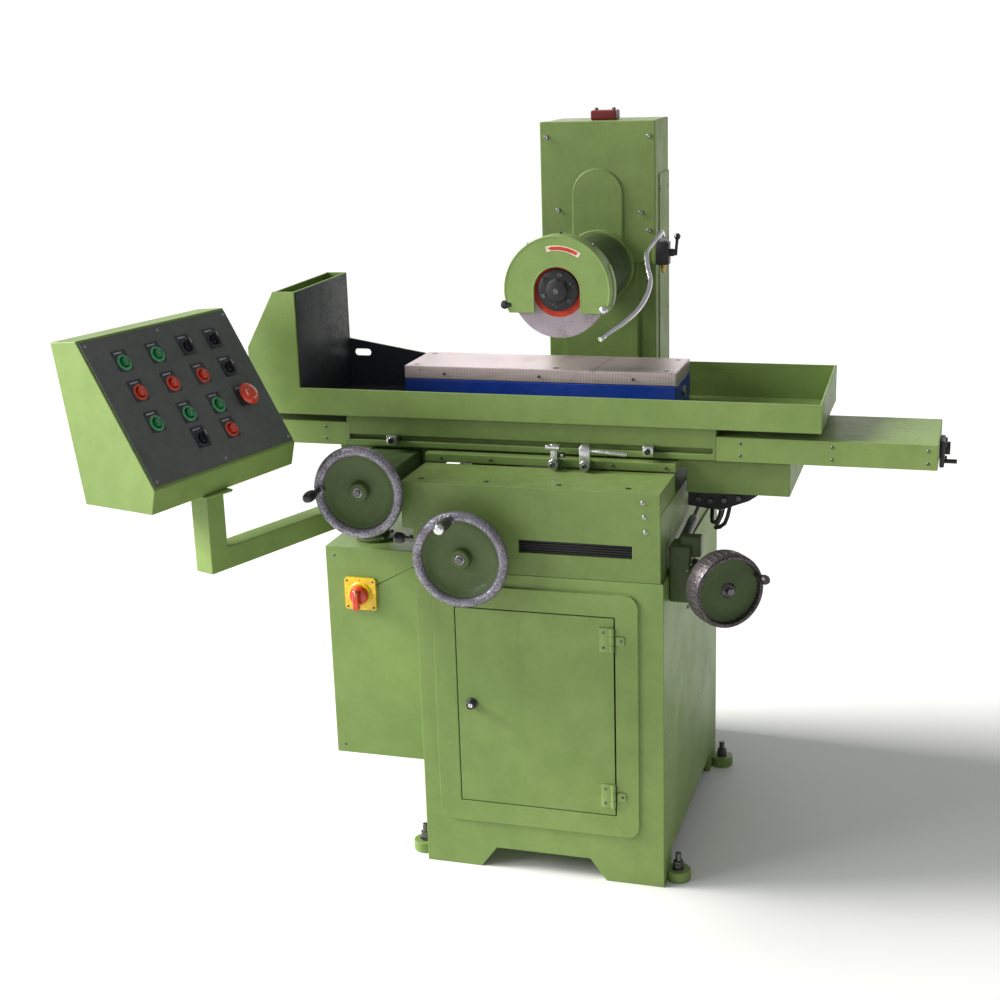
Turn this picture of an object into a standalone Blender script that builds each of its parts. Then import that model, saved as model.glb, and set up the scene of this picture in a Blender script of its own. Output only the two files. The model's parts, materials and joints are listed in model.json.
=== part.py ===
"""Hydraulic surface grinder, modelled for Blender 4.5 as separate named pieces.

The machine frame used for the sizes below has x = 0 at the pedestal's left side,
y = 0 at its front face and z = 0 on the floor: +X to the right, +Y to the back,
+Z up, all in metres. The last step moves the whole machine so that its own origin
lies at the middle of its footprint, on the floor.
"""

import math

import bmesh
import bpy
from mathutils import Matrix, Vector

# ---------------------------------------------------------------- clearances
GAP = 0.0004            # between faces that touch on the real machine
RUN = 0.001             # between pieces that slide or turn past each other
OVER = 0.01             # how far a cutter runs past the face it opens
STEP = 0.0008           # by which a joined sheet stops short of its neighbour's face

# ------------------------------------------------------------------ pedestal
PEDESTAL_WIDTH = 0.515
PEDESTAL_DEPTH = 0.644
PEDESTAL_TOP = 0.660
PLINTH_HEIGHT = 0.090
SHEET = 0.006
SKIRT = 0.012
TAIL_MARGIN = 0.055     # the tail under the column is narrower by this much a side
TAIL_DEPTH = 0.160
ARCH_HEIGHT = 0.046
FOOT_LENGTH = 0.128
SIDE_ARCH_START = 0.085
LUG_RADIUS = 0.026
LUG_HEIGHT = 0.022
DOOR_X0 = 0.083
DOOR_X1 = PEDESTAL_WIDTH - 0.097
DOOR_Z0 = 0.153
DOOR_Z1 = PEDESTAL_TOP - 0.074
DOOR_GAP = 0.002
DOOR_THICKNESS = 0.004
FRAME_MARGIN = 0.047
FRAME_RAISE = 0.006
LATCH_INSET = 0.032

# ----------------------------------------------------------------------- bed
BED_TOP = PEDESTAL_TOP + 0.140
BED_WIDTH = PEDESTAL_WIDTH - 0.005
BED_WALL = 0.025
APRON_LEFT = 0.023      # how far the apron hangs over to the left
APRON_DEPTH = 0.1535
APRON_TOP = BED_TOP + 0.0425
APRON_BOTTOM = BED_TOP - 0.055
SEAT_TOP = BED_TOP + 0.062        # top of the block that the column stands on
SEAT_FRONT = PEDESTAL_DEPTH - 0.059
SLOT_X0 = 0.222
SLOT_X1 = BED_WIDTH - 0.057
SLOT_Z0 = APRON_BOTTOM - 0.038
SLOT_Z1 = APRON_BOTTOM - 0.011
SLOT_DEPTH = 0.018
WAY_HEIGHT = 0.012
WAY_WIDTH = 0.040
LEFT_WAY_X = 0.075
RIGHT_WAY_X = BED_WIDTH - 0.110
WAY_START = 0.165
WAY_END = SEAT_FRONT - 0.010

# ------------------------------------------------------------- cross feed
CROSS_X = 0.118
CROSS_Z = PEDESTAL_TOP + 0.044
SCREW_RADIUS = 0.010
NUT_WIDTH = 0.036
NUT_Y0 = 0.300
NUT_LENGTH = 0.040
CROSS_FORWARD = 0.100   # travel of the saddle from rest towards the operator
CROSS_BACK = 0.015      # and away, until the table handwheel nears the apron
CROSS_SCREW_END = NUT_Y0 + NUT_LENGTH + CROSS_BACK + 0.065

# ------------------------------------------------------------------ saddle
SADDLE_X0 = -0.230
SADDLE_X1 = BED_WIDTH + 0.223
SADDLE_FRONT = 0.156
WING_FRONT = 0.196
SADDLE_BACK = 0.440
SADDLE_TOP = APRON_TOP + 0.020
WING_BOTTOM = SADDLE_TOP - 0.0685
WING_GAP = 0.014        # between a wing and the side of the bed
WING_SHELL = 0.012
VALVE_Y = 0.245          # middle of the reversing valve under the right wing
RUNNER_WIDTH = 0.060
CLAMP_AT = Vector((BED_WIDTH + 0.020, 0.330, BED_TOP - 0.064))  # pivot of the saddle clamp
TRIP_LEVER_Z = SADDLE_TOP - 0.006
REVERSE_AT = Vector((0.262, SADDLE_FRONT - 0.016, TRIP_LEVER_Z))
STOP_AT = Vector((0.328, SADDLE_FRONT - 0.016, TRIP_LEVER_Z))
RUNNER_START = 0.262

# ------------------------------------------------------------------- table
TABLE_X0 = -0.205
TABLE_LENGTH = 0.792
TABLE_X1 = TABLE_X0 + TABLE_LENGTH
TABLE_FRONT = 0.176
TABLE_BACK = 0.420
TABLE_BOTTOM = SADDLE_TOP + 0.0045
TABLE_TOP = TABLE_BOTTOM + 0.065
GROOVE_Z = TABLE_BOTTOM + 0.019
GROOVE_MOUTH = 0.0055   # half heights of the dog groove
GROOVE_THROAT = 0.0095
GROOVE_LIP = 0.006
GROOVE_DEPTH = 0.014
STRIP_Y = (0.205, 0.375)
STRIP_WIDTH = 0.030

# ---------------------------------------------------------------- cylinder
CYLINDER_Y = 0.290
CYLINDER_Z = TABLE_BOTTOM + 0.018
CYLINDER_RADIUS = 0.0175
CYLINDER_BORE = 0.0130
CYLINDER_X0 = TABLE_X0 + 0.205
CYLINDER_X1 = TABLE_X1 - 0.037
ROD_RADIUS = 0.0070
PISTON_LENGTH = 0.024

# -------------------------------------------------------------- way covers
COVER_TOP = TABLE_BOTTOM + 0.050
COVER_BACK = 0.403
COVER_REACH = 0.429     # how far each cover runs past the end of the table
COVER_SHELL = 0.003

# -------------------------------------------------------------------- tray
TRAY_X0 = TABLE_X0 - 0.215
TRAY_X1 = TABLE_X1 + 0.208
TRAY_FRONT = 0.169
TRAY_BACK = 0.465
TRAY_SHEET = 0.004
LIP_TOP = TABLE_TOP + 0.058
REAR_WALL_TOP = TABLE_TOP + 0.079
GUARD_WALL_X = TRAY_X0 + 0.115
GUARD_WALL_TOP = TABLE_TOP + 0.263
GUARD_SHOULDER_Z = TABLE_TOP + 0.143
GUARD_TOP_X = TRAY_X0 + 0.066
GUSSET_X = TRAY_X0 + 0.320
GUSSET_STEP = 0.034

# ------------------------------------------------------------------- chuck
CHUCK_X0 = TABLE_X0 + 0.102
CHUCK_LENGTH = 0.592
CHUCK_FRONT = 0.270
CHUCK_DEPTH = 0.160
CHUCK_BASE_TOP = TABLE_TOP + 0.064
CHUCK_TOP = CHUCK_BASE_TOP + 0.028

# -------------------------------------------------------- column and head
COLUMN_WIDTH = 0.259
COLUMN_MIDDLE = PEDESTAL_WIDTH / 2 - 0.008
COLUMN_X0 = COLUMN_MIDDLE - COLUMN_WIDTH / 2
COLUMN_FRONT = PEDESTAL_DEPTH - 0.0105
COLUMN_BACK = COLUMN_FRONT + 0.1435
COLUMN_TOP = SEAT_TOP + 0.650
COLUMN_WALL = 0.014
LIFT_Y = COLUMN_FRONT + COLUMN_WALL + 0.040
COLUMN_WAY_WIDTH = 0.170
COLUMN_WAY_DEPTH = 0.010
NUT_SLOT_WIDTH = 0.056
STRIP_TOP = COLUMN_TOP - 0.118
SIDE_STRIP = 0.003
WHEEL_RADIUS = 0.100
SPINDLE_Z = CHUCK_TOP + WHEEL_RADIUS + 0.071
SLIDE_THICKNESS = 0.0285
SLIDE_FRONT = COLUMN_FRONT - SLIDE_THICKNESS - RUN
SLIDE_BOTTOM = SPINDLE_Z + 0.009
SLIDE_TOP = COLUMN_TOP + 0.001
WHEEL_WIDTH = 0.020
WHEEL_Y = 0.260         # middle of the wheel's width
WHEEL_BORE = 0.016
GUARD_RADIUS = WHEEL_RADIUS + 0.012
GUARD_WIDTH = 0.050
GUARD_WALL = 0.004
GUARD_DROP = 0.046      # how far below the spindle the guard ends
GUARD_WINDOW = 0.050
SHAFT_RADIUS = 0.0140
HOUSING_RADIUS = 0.052
HOUSING_START = WHEEL_Y + 0.027
MOTOR_RADIUS = 0.075
MOTOR_START = SLIDE_FRONT - 0.174

# ----------------------------------------------------------------- cabinet
CABINET_WIDTH = 0.2655
CABINET_FRONT = 0.160
CABINET_BACK = PEDESTAL_DEPTH - 0.084
CABINET_BOTTOM = DOOR_Z0
CABINET_TOP = PEDESTAL_TOP - 0.019
CABINET_SHEET = 0.003
CABINET_DOOR_MARGIN = 0.025
SWITCH_X = -0.186
SWITCH_Z = CABINET_TOP - 0.103
SWITCH_SIZE = 0.072

# ----------------------------------------------------------------- pendant
PIVOT_X = -0.176
PIVOT_Y = 0.240
ARM_BOTTOM = CABINET_TOP + 0.063
ARM_SIZE = 0.045
ARM_HEADING = math.radians(250)
ARM_LENGTH = 0.485
PENDANT_HEADING = math.radians(75.2)
PENDANT_TILT = math.radians(32)
PENDANT_X = -0.380
PENDANT_Y = -0.177
PENDANT_Z = ARM_BOTTOM + 0.3436
PANEL_WIDTH = 0.401
PANEL_HEIGHT = 0.302
PANEL_SHEET = 0.003
BOX_WIDTH = 0.410
BOX_SHELL = 0.003
CONTROL_COLUMNS = (-0.121, -0.032, 0.053, 0.131)
CONTROL_ROWS = (0.094, 0.030, -0.036, -0.091)
STEM_RADIUS = 0.0095
STEM_CLEARANCE = 0.001
BEZEL_RADIUS = 0.0165
BEZEL_HEIGHT = 0.003

# -------------------------------------------------------------- handwheels
HANDWHEEL_RADIUS = 0.100
TRAVERSE_X = -0.100
TRAVERSE_Z = BED_TOP + 0.025
TRAVERSE_FACE = 0.020   # front face of the traverse gearbox
ELEVATE_RADIUS = 0.0735
ELEVATE_HEADING = math.radians(38.5)
ELEVATE_HUB = Vector((PEDESTAL_WIDTH + 0.136, -0.030, PEDESTAL_TOP + 0.005))
ELEVATE_STEM = 0.150

GREEN = ((0.22, 0.36, 0.09), 0.42, 0.0)
DARK_GREEN = ((0.10, 0.17, 0.04), 0.5, 0.0)
BLACK = ((0.02, 0.02, 0.022), 0.5, 0.0)
STEEL = ((0.55, 0.55, 0.56), 0.3, 0.9)
CHROME = ((0.75, 0.75, 0.76), 0.12, 1.0)
BLUE = ((0.012, 0.045, 0.24), 0.4, 0.0)
GREY = ((0.11, 0.12, 0.11), 0.5, 0.0)
RED = ((0.55, 0.05, 0.02), 0.35, 0.0)
SIGNAL_GREEN = ((0.01, 0.22, 0.07), 0.35, 0.0)
YELLOW = ((0.85, 0.65, 0.05), 0.4, 0.0)
ABRASIVE = ((0.55, 0.47, 0.50), 0.9, 0.0)
RUBBER = ((0.015, 0.015, 0.015), 0.8, 0.0)


# ------------------------------------------------------------ scene set-up
for old in list(bpy.data.objects):
    bpy.data.objects.remove(old, do_unlink=True)

PARTS = bpy.data.collections.new("surface_grinder")
CUTTERS = bpy.data.collections.new("surface_grinder_cutters")
for group in (PARTS, CUTTERS):
    bpy.context.scene.collection.children.link(group)

MATERIALS = {}
FRAME_OF = {}           # world matrix of each body's empty, in the machine frame


def material(look):
    """One Principled material for each look that the pieces share."""
    if look not in MATERIALS:
        colour, roughness, metallic = look
        made = bpy.data.materials.new(f"paint_{len(MATERIALS):02d}")
        made.use_nodes = True
        shader = made.node_tree.nodes["Principled BSDF"]
        shader.inputs["Base Color"].default_value = (*colour, 1.0)
        shader.inputs["Roughness"].default_value = roughness
        shader.inputs["Metallic"].default_value = metallic
        made.diffuse_color = (*colour, 1.0)
        MATERIALS[look] = made
    return MATERIALS[look]


def body(name, parent=None, at=(0, 0, 0), turn=Matrix()):
    """An empty that carries one moving body; at and turn are in the machine frame."""
    empty = bpy.data.objects.new(f"{name}_body", None)
    empty.empty_display_size = 0.05
    PARTS.objects.link(empty)
    frame = Matrix.Translation(at) @ turn
    FRAME_OF[empty] = frame
    if parent is not None:
        empty.parent = parent
        empty.matrix_local = FRAME_OF[parent].inverted() @ frame
    else:
        empty.matrix_local = frame
    return empty


def carry(thing, on, local=False):
    """Put a shape on a body; its own placing is in the machine frame, or local."""
    bpy.context.view_layer.update()
    placed = thing.matrix_local.copy()
    thing.parent = on
    thing.matrix_parent_inverse = Matrix()
    if local:
        thing.matrix_local = placed
    else:
        thing.matrix_local = FRAME_OF[on].inverted() @ placed
    return thing


def add_mesh(shape, name, at=(0, 0, 0)):
    """A new mesh object made from a bmesh, which is freed."""
    data = bpy.data.meshes.new(name)
    shape.to_mesh(data)
    shape.free()
    made = bpy.data.objects.new(name, data)
    made.location = at
    PARTS.objects.link(made)
    return made


def box(name, low, high, bevel=0.0):
    """A block between two opposite corners, its edges bevelled if asked."""
    low, high = Vector(low), Vector(high)
    shape = bmesh.new()
    bmesh.ops.create_cube(shape, size=1.0)
    bmesh.ops.scale(shape, vec=high - low, verts=shape.verts)
    made = add_mesh(shape, name, (low + high) / 2)
    if bevel:
        round_edges(made, bevel)
    return made


def round_edges(thing, width, segments=2):
    """A bevel along the sharp edges of a shape."""
    rounding = thing.modifiers.new("round", "BEVEL")
    rounding.width = width
    rounding.segments = segments
    rounding.limit_method = "ANGLE"
    rounding.angle_limit = math.radians(40)
    return thing


def rod(name, radius, start, end, sides=28):
    """A round bar between two points."""
    start, end = Vector(start), Vector(end)
    axis = end - start
    shape = bmesh.new()
    bmesh.ops.create_cone(shape, cap_ends=True, segments=sides, radius1=radius,
                          radius2=radius, depth=axis.length)
    made = add_mesh(shape, name, (start + end) / 2)
    made.rotation_mode = "QUATERNION"
    made.rotation_quaternion = axis.to_track_quat("Z", "Y")
    return made


def turned(name, profile, at, axis, sides=40):
    """A turned piece: (radius, height) points from its top down, round an axis."""
    data = bpy.data.meshes.new(name)
    edges = [(i, i + 1) for i in range(len(profile) - 1)]
    data.from_pydata([(r, 0, h) for r, h in profile], edges, [])
    made = bpy.data.objects.new(name, data)
    made.location = at
    made.rotation_mode = "QUATERNION"
    made.rotation_quaternion = Vector(axis).to_track_quat("Z", "Y")
    PARTS.objects.link(made)
    spin = made.modifiers.new("turn", "SCREW")
    spin.steps = sides
    spin.render_steps = sides
    spin.use_merge_vertices = True
    spin.merge_threshold = 0.00005
    spin.use_smooth_shade = True
    return made


def plate(name, outline, depth, turn, at):
    """A flat plate cut to an outline, as a mesh; depth runs both ways from at."""
    curve = bpy.data.curves.new(name, "CURVE")
    curve.dimensions = "2D"
    curve.fill_mode = "BOTH"
    curve.extrude = depth / 2
    line = curve.splines.new("POLY")
    line.points.add(len(outline) - 1)
    for point, (u, v) in zip(line.points, outline):
        point.co = (u, v, 0, 1)
    line.use_cyclic_u = True
    drawn = bpy.data.objects.new(name, curve)
    drawn.matrix_local = Matrix.Translation(at) @ turn
    PARTS.objects.link(drawn)
    return as_mesh(drawn)


def as_mesh(drawn):
    """The mesh of a curve object, welded, in the curve's place."""
    bpy.context.view_layer.update()
    graph = bpy.context.evaluated_depsgraph_get()
    data = bpy.data.meshes.new_from_object(drawn.evaluated_get(graph))
    shape = bmesh.new()
    shape.from_mesh(data)
    bmesh.ops.remove_doubles(shape, verts=shape.verts, dist=0.00001)
    shape.to_mesh(data)
    shape.free()
    made = bpy.data.objects.new(drawn.name, data)
    made.matrix_local = drawn.matrix_world
    PARTS.objects.link(made)
    name = drawn.name
    bpy.data.objects.remove(drawn, do_unlink=True)
    made.name = name
    return made


def pipe(name, points, radius, resolution=3):
    """A round tube through a list of points, read from a smooth curve."""
    curve = bpy.data.curves.new(name, "CURVE")
    curve.dimensions = "3D"
    curve.bevel_depth = radius
    curve.bevel_resolution = resolution
    curve.use_fill_caps = True
    line = curve.splines.new("POLY")
    line.points.add(len(points) - 1)
    for point, place in zip(line.points, points):
        point.co = (*place, 1)
    made = bpy.data.objects.new(name, curve)
    PARTS.objects.link(made)
    return made


def smooth_route(points, per_span=4):
    """Points along a smooth curve through the given ones (Catmull-Rom)."""
    ends = [points[0]] + list(points) + [points[-1]]
    knots = [Vector(p) for p in ends]
    route = []
    for a, b, c, d in zip(knots, knots[1:], knots[2:], knots[3:]):
        for step in range(per_span):
            t = step / per_span
            route.append(0.5 * (2 * b + (c - a) * t + (2 * a - 5 * b + 4 * c - d) * t ** 2
                                + (3 * b - a - 3 * c + d) * t ** 3))
    route.append(knots[-1])
    return route


def arc(centre, radius, start, end, steps):
    """Points on a circle from one angle to another, in degrees."""
    angles = [math.radians(start + (end - start) * i / steps) for i in range(steps + 1)]
    return [(centre[0] + radius * math.cos(a), centre[1] + radius * math.sin(a))
            for a in angles]


def rounded(low, high, radius, steps=4):
    """A rectangle's outline with round corners."""
    (x0, y0), (x1, y1) = low, high
    corners = (((x1 - radius, y1 - radius), 0), ((x0 + radius, y1 - radius), 90),
               ((x0 + radius, y0 + radius), 180), ((x1 - radius, y0 + radius), 270))
    outline = []
    for centre, start in corners:
        outline += arc(centre, radius, start, start + 90, steps)
    return outline


def combine(thing, operands, kind):
    """Join to or cut from a shape; each operand moves to the cutters."""
    for operand in operands:
        step = thing.modifiers.new(kind.lower(), "BOOLEAN")
        step.operation = kind
        step.solver = "EXACT"
        step.object = operand
        operand.hide_render = True
        operand.display_type = "WIRE"
        if operand.name in PARTS.objects:
            PARTS.objects.unlink(operand)
            CUTTERS.objects.link(operand)
    return thing


def joined(thing, *operands):
    return combine(thing, operands, "UNION")


def cut(thing, *operands):
    return combine(thing, operands, "DIFFERENCE")


def tools_of(thing):
    """Every shape that a piece is joined with or cut by, nested ones too."""
    found = []
    for step in thing.modifiers:
        if step.type == "BOOLEAN":
            found += [step.object] + tools_of(step.object)
    return found


def finish(thing, look, on, local=False):
    """Colour and shade a piece, and put it and its cutters on its body."""
    thing.data.materials.append(material(look))
    if thing.type == "MESH" and len(thing.data.polygons):
        thing.data.shade_smooth()
        thing.data.set_sharp_from_angle(angle=math.radians(35))
    for piece in [thing] + tools_of(thing):
        carry(piece, on, local)
    return thing


UPRIGHT = Matrix.Rotation(math.radians(90), 4, "X")      # plate u, v along +X, +Z


# ----------------------------------------------------------------- pedestal
def make_pedestal(on):
    """Sheet-steel cabinet on a plinth with arches, and its tail under the column."""
    width, depth = PEDESTAL_WIDTH, PEDESTAL_DEPTH
    tail_x0, tail_x1 = TAIL_MARGIN, width - TAIL_MARGIN
    tail_back = depth + TAIL_DEPTH
    shell = box("pedestal", (0, 0, 0), (width, depth, PEDESTAL_TOP))
    tail = box("tail", (tail_x0, depth - 0.02, 0), (tail_x1, tail_back, PEDESTAL_TOP))
    frame = plate("door_frame", rounded((DOOR_X0 - FRAME_MARGIN, DOOR_Z0 - FRAME_MARGIN),
                                        (DOOR_X1 + FRAME_MARGIN, DOOR_Z1 + FRAME_MARGIN), 0.025),
                  FRAME_RAISE + 0.002, UPRIGHT, (0, 0.001 - FRAME_RAISE / 2, 0))
    joined(shell, tail, frame)
    for x, y in lug_places():
        lug = rod("lug", LUG_RADIUS, (x, y, 0), (x, y, LUG_HEIGHT), 24)
        joined(shell, lug)
    floor = PLINTH_HEIGHT + SHEET
    room = box("room", (SHEET, SHEET, floor), (width - SHEET, depth - SHEET, PEDESTAL_TOP + OVER))
    tail_room = box("tail_room", (tail_x0 + SHEET, depth - 2 * SHEET, floor),
                    (tail_x1 - SHEET, tail_back - SHEET, PEDESTAL_TOP + OVER))
    under = box("under", (SKIRT, SKIRT, -OVER), (width - SKIRT, depth - SKIRT, PLINTH_HEIGHT))
    tail_under = box("tail_under", (tail_x0 + SKIRT, depth - 2 * SKIRT, -OVER),
                     (tail_x1 - SKIRT, tail_back - SKIRT, PLINTH_HEIGHT))
    opening = box("door_opening", (DOOR_X0, -FRAME_RAISE - OVER, DOOR_Z0),
                  (DOOR_X1, SHEET + OVER, DOOR_Z1))
    slope = ARCH_HEIGHT * 0.6
    front_arch = plate("front_arch",
                       [(FOOT_LENGTH - slope / 2, -OVER), (width - FOOT_LENGTH + slope / 2, -OVER),
                        (width - FOOT_LENGTH - slope, ARCH_HEIGHT),
                        (FOOT_LENGTH + slope, ARCH_HEIGHT)],
                       tail_back * 2 + 4 * OVER, UPRIGHT, (0, tail_back / 2, 0))
    side_arch = box("side_arch", (-2 * OVER, SIDE_ARCH_START, -OVER),
                    (width + 2 * OVER, depth - SIDE_ARCH_START, ARCH_HEIGHT))
    cut(shell, room, tail_room, under, tail_under, opening, front_arch, side_arch)
    return finish(shell, GREEN, on)


def lug_places():
    """Centres of the levelling lugs at the foot of the pedestal's two sides."""
    out = LUG_RADIUS * 0.8
    return [(x, y) for x in (-out, PEDESTAL_WIDTH + out)
            for y in (SIDE_ARCH_START * 0.55, PEDESTAL_DEPTH - SIDE_ARCH_START * 0.4)]


def make_door(on):
    """The pedestal's door, with its two hinge knuckles on the right."""
    panel = box("door", (DOOR_X0 + DOOR_GAP, 0, DOOR_Z0 + DOOR_GAP),
                (DOOR_X1 - DOOR_GAP, DOOR_THICKNESS, DOOR_Z1 - DOOR_GAP))
    panel.location.y = -FRAME_RAISE + DOOR_THICKNESS / 2
    for z in (DOOR_Z0 + 0.045, DOOR_Z1 - 0.048):
        joined(panel, rod("hinge_knuckle", 0.004, (DOOR_X1 - 0.006, -FRAME_RAISE - 0.002, z - 0.02),
                          (DOOR_X1 - 0.006, -FRAME_RAISE - 0.002, z + 0.02), 12))
    latch_x = DOOR_X0 + LATCH_INSET
    cut(panel, rod("latch_hole", 0.0062, (latch_x, -0.02, latch_z()), (latch_x, 0.02, latch_z())))
    return finish(panel, GREEN, on)


def latch_z():
    return (DOOR_Z0 + DOOR_Z1) / 2 + 0.006


def make_door_latch(on):
    """Turning knob with its tongue; the tongue stands up while the door is unlatched."""
    x, z = DOOR_X0 + LATCH_INSET, latch_z()
    front = -FRAME_RAISE
    knob = turned("door_latch", [(0, 0.016), (0.007, 0.016), (0.009, 0.013), (0.009, 0.004),
                                 (0.012, 0.002), (0.012, GAP), (0.005, GAP), (0.005, -0.010),
                                 (0, -0.010)], (x, front, z), (0, -1, 0), 24)
    back = SHEET + RUN
    tongue = box("latch_tongue", (x - 0.006, back, z - 0.005), (x + 0.006, back + 0.002, z + LATCH_INSET + 0.012))
    shank = rod("latch_shank", 0.004, (x, front + 0.002, z), (x, back + 0.0012, z), 16)
    joined(knob, shank, tongue)
    return finish(knob, BLACK, on)


def make_hydraulic_unit(on):
    """Oil tank with the pump motor standing on it, inside the pedestal."""
    floor = PLINTH_HEIGHT + SHEET + GAP
    x0, x1 = 0.10, PEDESTAL_WIDTH - 0.095
    y0, y1 = PEDESTAL_DEPTH - 0.384, PEDESTAL_DEPTH - 0.084
    wall = 0.004
    tank = box("hydraulic_unit", (x0, y0, floor), (x1, y1, floor + 0.20), 0.008)
    motor = turned("pump_motor", [(0, 0.19), (0.055, 0.19), (0.062, 0.18), (0.062, 0.03),
                                  (0.045, 0.025), (0.045, -0.01), (0, -0.01)],
                   (x0 + 0.14, y0 + 0.16, floor + 0.20), (0, 0, 1), 28)
    filler = rod("filler", 0.022, (x0 + 0.27, y0 + 0.08, floor + 0.19), (x0 + 0.27, y0 + 0.08, floor + 0.225), 20)
    joined(tank, motor, filler)
    cut(tank, box("tank_room", (x0 + wall, y0 + wall, floor - OVER), (x1 - wall, y1 - wall, floor + 0.185)))
    return finish(tank, GREY, on)


# ---------------------------------------------------------------------- bed
def way_outline(x, raised, spread):
    """Section of a bed way: a ridge whose sides lean in."""
    half = WAY_WIDTH / 2 + spread
    top = BED_TOP + WAY_HEIGHT + raised
    return [(x - half, BED_TOP - 0.004), (x + half, BED_TOP - 0.004),
            (x + half - WAY_HEIGHT * 0.6, top), (x - half + WAY_HEIGHT * 0.6, top)]


def make_bed(on):
    """Cast bed: apron shelf in front, two ways, and the seat of the column."""
    bottom = PEDESTAL_TOP + GAP
    tail_x0, tail_x1 = TAIL_MARGIN, PEDESTAL_WIDTH - TAIL_MARGIN
    tail_back = PEDESTAL_DEPTH + TAIL_DEPTH
    bed = box("bed", (0, 0, bottom), (BED_WIDTH, PEDESTAL_DEPTH, BED_TOP))
    apron = box("apron", (-APRON_LEFT, 0, APRON_BOTTOM), (BED_WIDTH - 0.001, APRON_DEPTH, APRON_TOP))
    seat = box("column_seat", (tail_x0, SEAT_FRONT, bottom), (tail_x1, tail_back, SEAT_TOP))
    joined(bed, apron, seat)
    for x in (LEFT_WAY_X, RIGHT_WAY_X):
        joined(bed, plate("way", way_outline(x, 0, 0), WAY_END - WAY_START, UPRIGHT,
                          (0, (WAY_START + WAY_END) / 2, 0)))
    inside = box("bed_room", (BED_WALL, BED_WALL, bottom - OVER),
                 (BED_WIDTH - BED_WALL, PEDESTAL_DEPTH - BED_WALL, BED_TOP - BED_WALL))
    seat_room = box("seat_room", (tail_x0 + BED_WALL, PEDESTAL_DEPTH - 2 * BED_WALL, bottom - OVER),
                    (tail_x1 - BED_WALL, tail_back - BED_WALL, SEAT_TOP - BED_WALL))
    slot = box("front_slot", (SLOT_X0, -OVER, SLOT_Z0), (SLOT_X1, SLOT_DEPTH, SLOT_Z1))
    nut_half = NUT_WIDTH / 2 + 0.004
    nut_slot = box("nut_slot", (CROSS_X - nut_half, NUT_Y0 - CROSS_FORWARD - 0.01, BED_TOP - 0.05),
                   (CROSS_X + nut_half, NUT_Y0 + NUT_LENGTH + CROSS_BACK + 0.01, BED_TOP + OVER))
    screw_hole = rod("screw_hole", SCREW_RADIUS + RUN, (CROSS_X, -OVER, CROSS_Z),
                     (CROSS_X, BED_WALL + OVER, CROSS_Z))
    lift_hole = rod("lift_hole", SCREW_RADIUS + RUN, (COLUMN_MIDDLE, LIFT_Y, SEAT_TOP - 0.04),
                    (COLUMN_MIDDLE, LIFT_Y, SEAT_TOP + OVER))
    cut(bed, inside, seat_room, slot, nut_slot, screw_hole, lift_hole)
    return finish(bed, GREEN, on)


# --------------------------------------------------------------- cross feed
def make_cross_screw(on):
    """Feed screw that the cross handwheel turns."""
    screw = rod("cross_screw", SCREW_RADIUS, (CROSS_X, GAP, CROSS_Z),
                (CROSS_X, CROSS_SCREW_END, CROSS_Z), 24)
    return finish(screw, STEEL, on)


def wheel_profile(radius, hub_length):
    """Section of a dished handwheel, front at the top: hub, web and round rim."""
    rim = 0.0105
    web = -0.018
    return [(0, 0.004), (0.007, 0.004), (0.010, 0.0), (0.017, -0.002), (0.020, -0.012),
            (radius - 3.2 * rim, web + 0.002), (radius - 2.0 * rim, web + 0.010),
            (radius - 1.7 * rim, 0.000), (radius - rim, 0.004), (radius - 0.3 * rim, 0.001),
            (radius, -0.006), (radius - 0.3 * rim, -0.014), (radius - rim, -0.017),
            (radius - 1.6 * rim, web - 0.002), (radius - 3.2 * rim, web - 0.008),
            (0.022, web - 0.008), (0.018, web - 0.014), (0.018, -hub_length), (0, -hub_length)]


def make_handwheel(name, radius, hub_length, crank_angle, crank_length, on):
    """A dished handwheel and its crank handle; local +Z points at the operator."""
    wheel = turned(name, wheel_profile(radius, hub_length), (0, 0, 0), (0, 0, 1), 34)
    reach = radius - 0.014
    u, v = reach * math.cos(crank_angle), reach * math.sin(crank_angle)
    crank = turned("crank", [(0, crank_length), (0.008, crank_length), (0.0115, crank_length - 0.006),
                             (0.0105, crank_length * 0.55), (0.0075, 0.012), (0.005, 0.010),
                             (0.005, -0.008), (0, -0.008)], (u, v, 0), (0, 0, 1), 16)
    joined(wheel, crank)
    return finish(wheel, GREEN, on, local=True)


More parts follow.
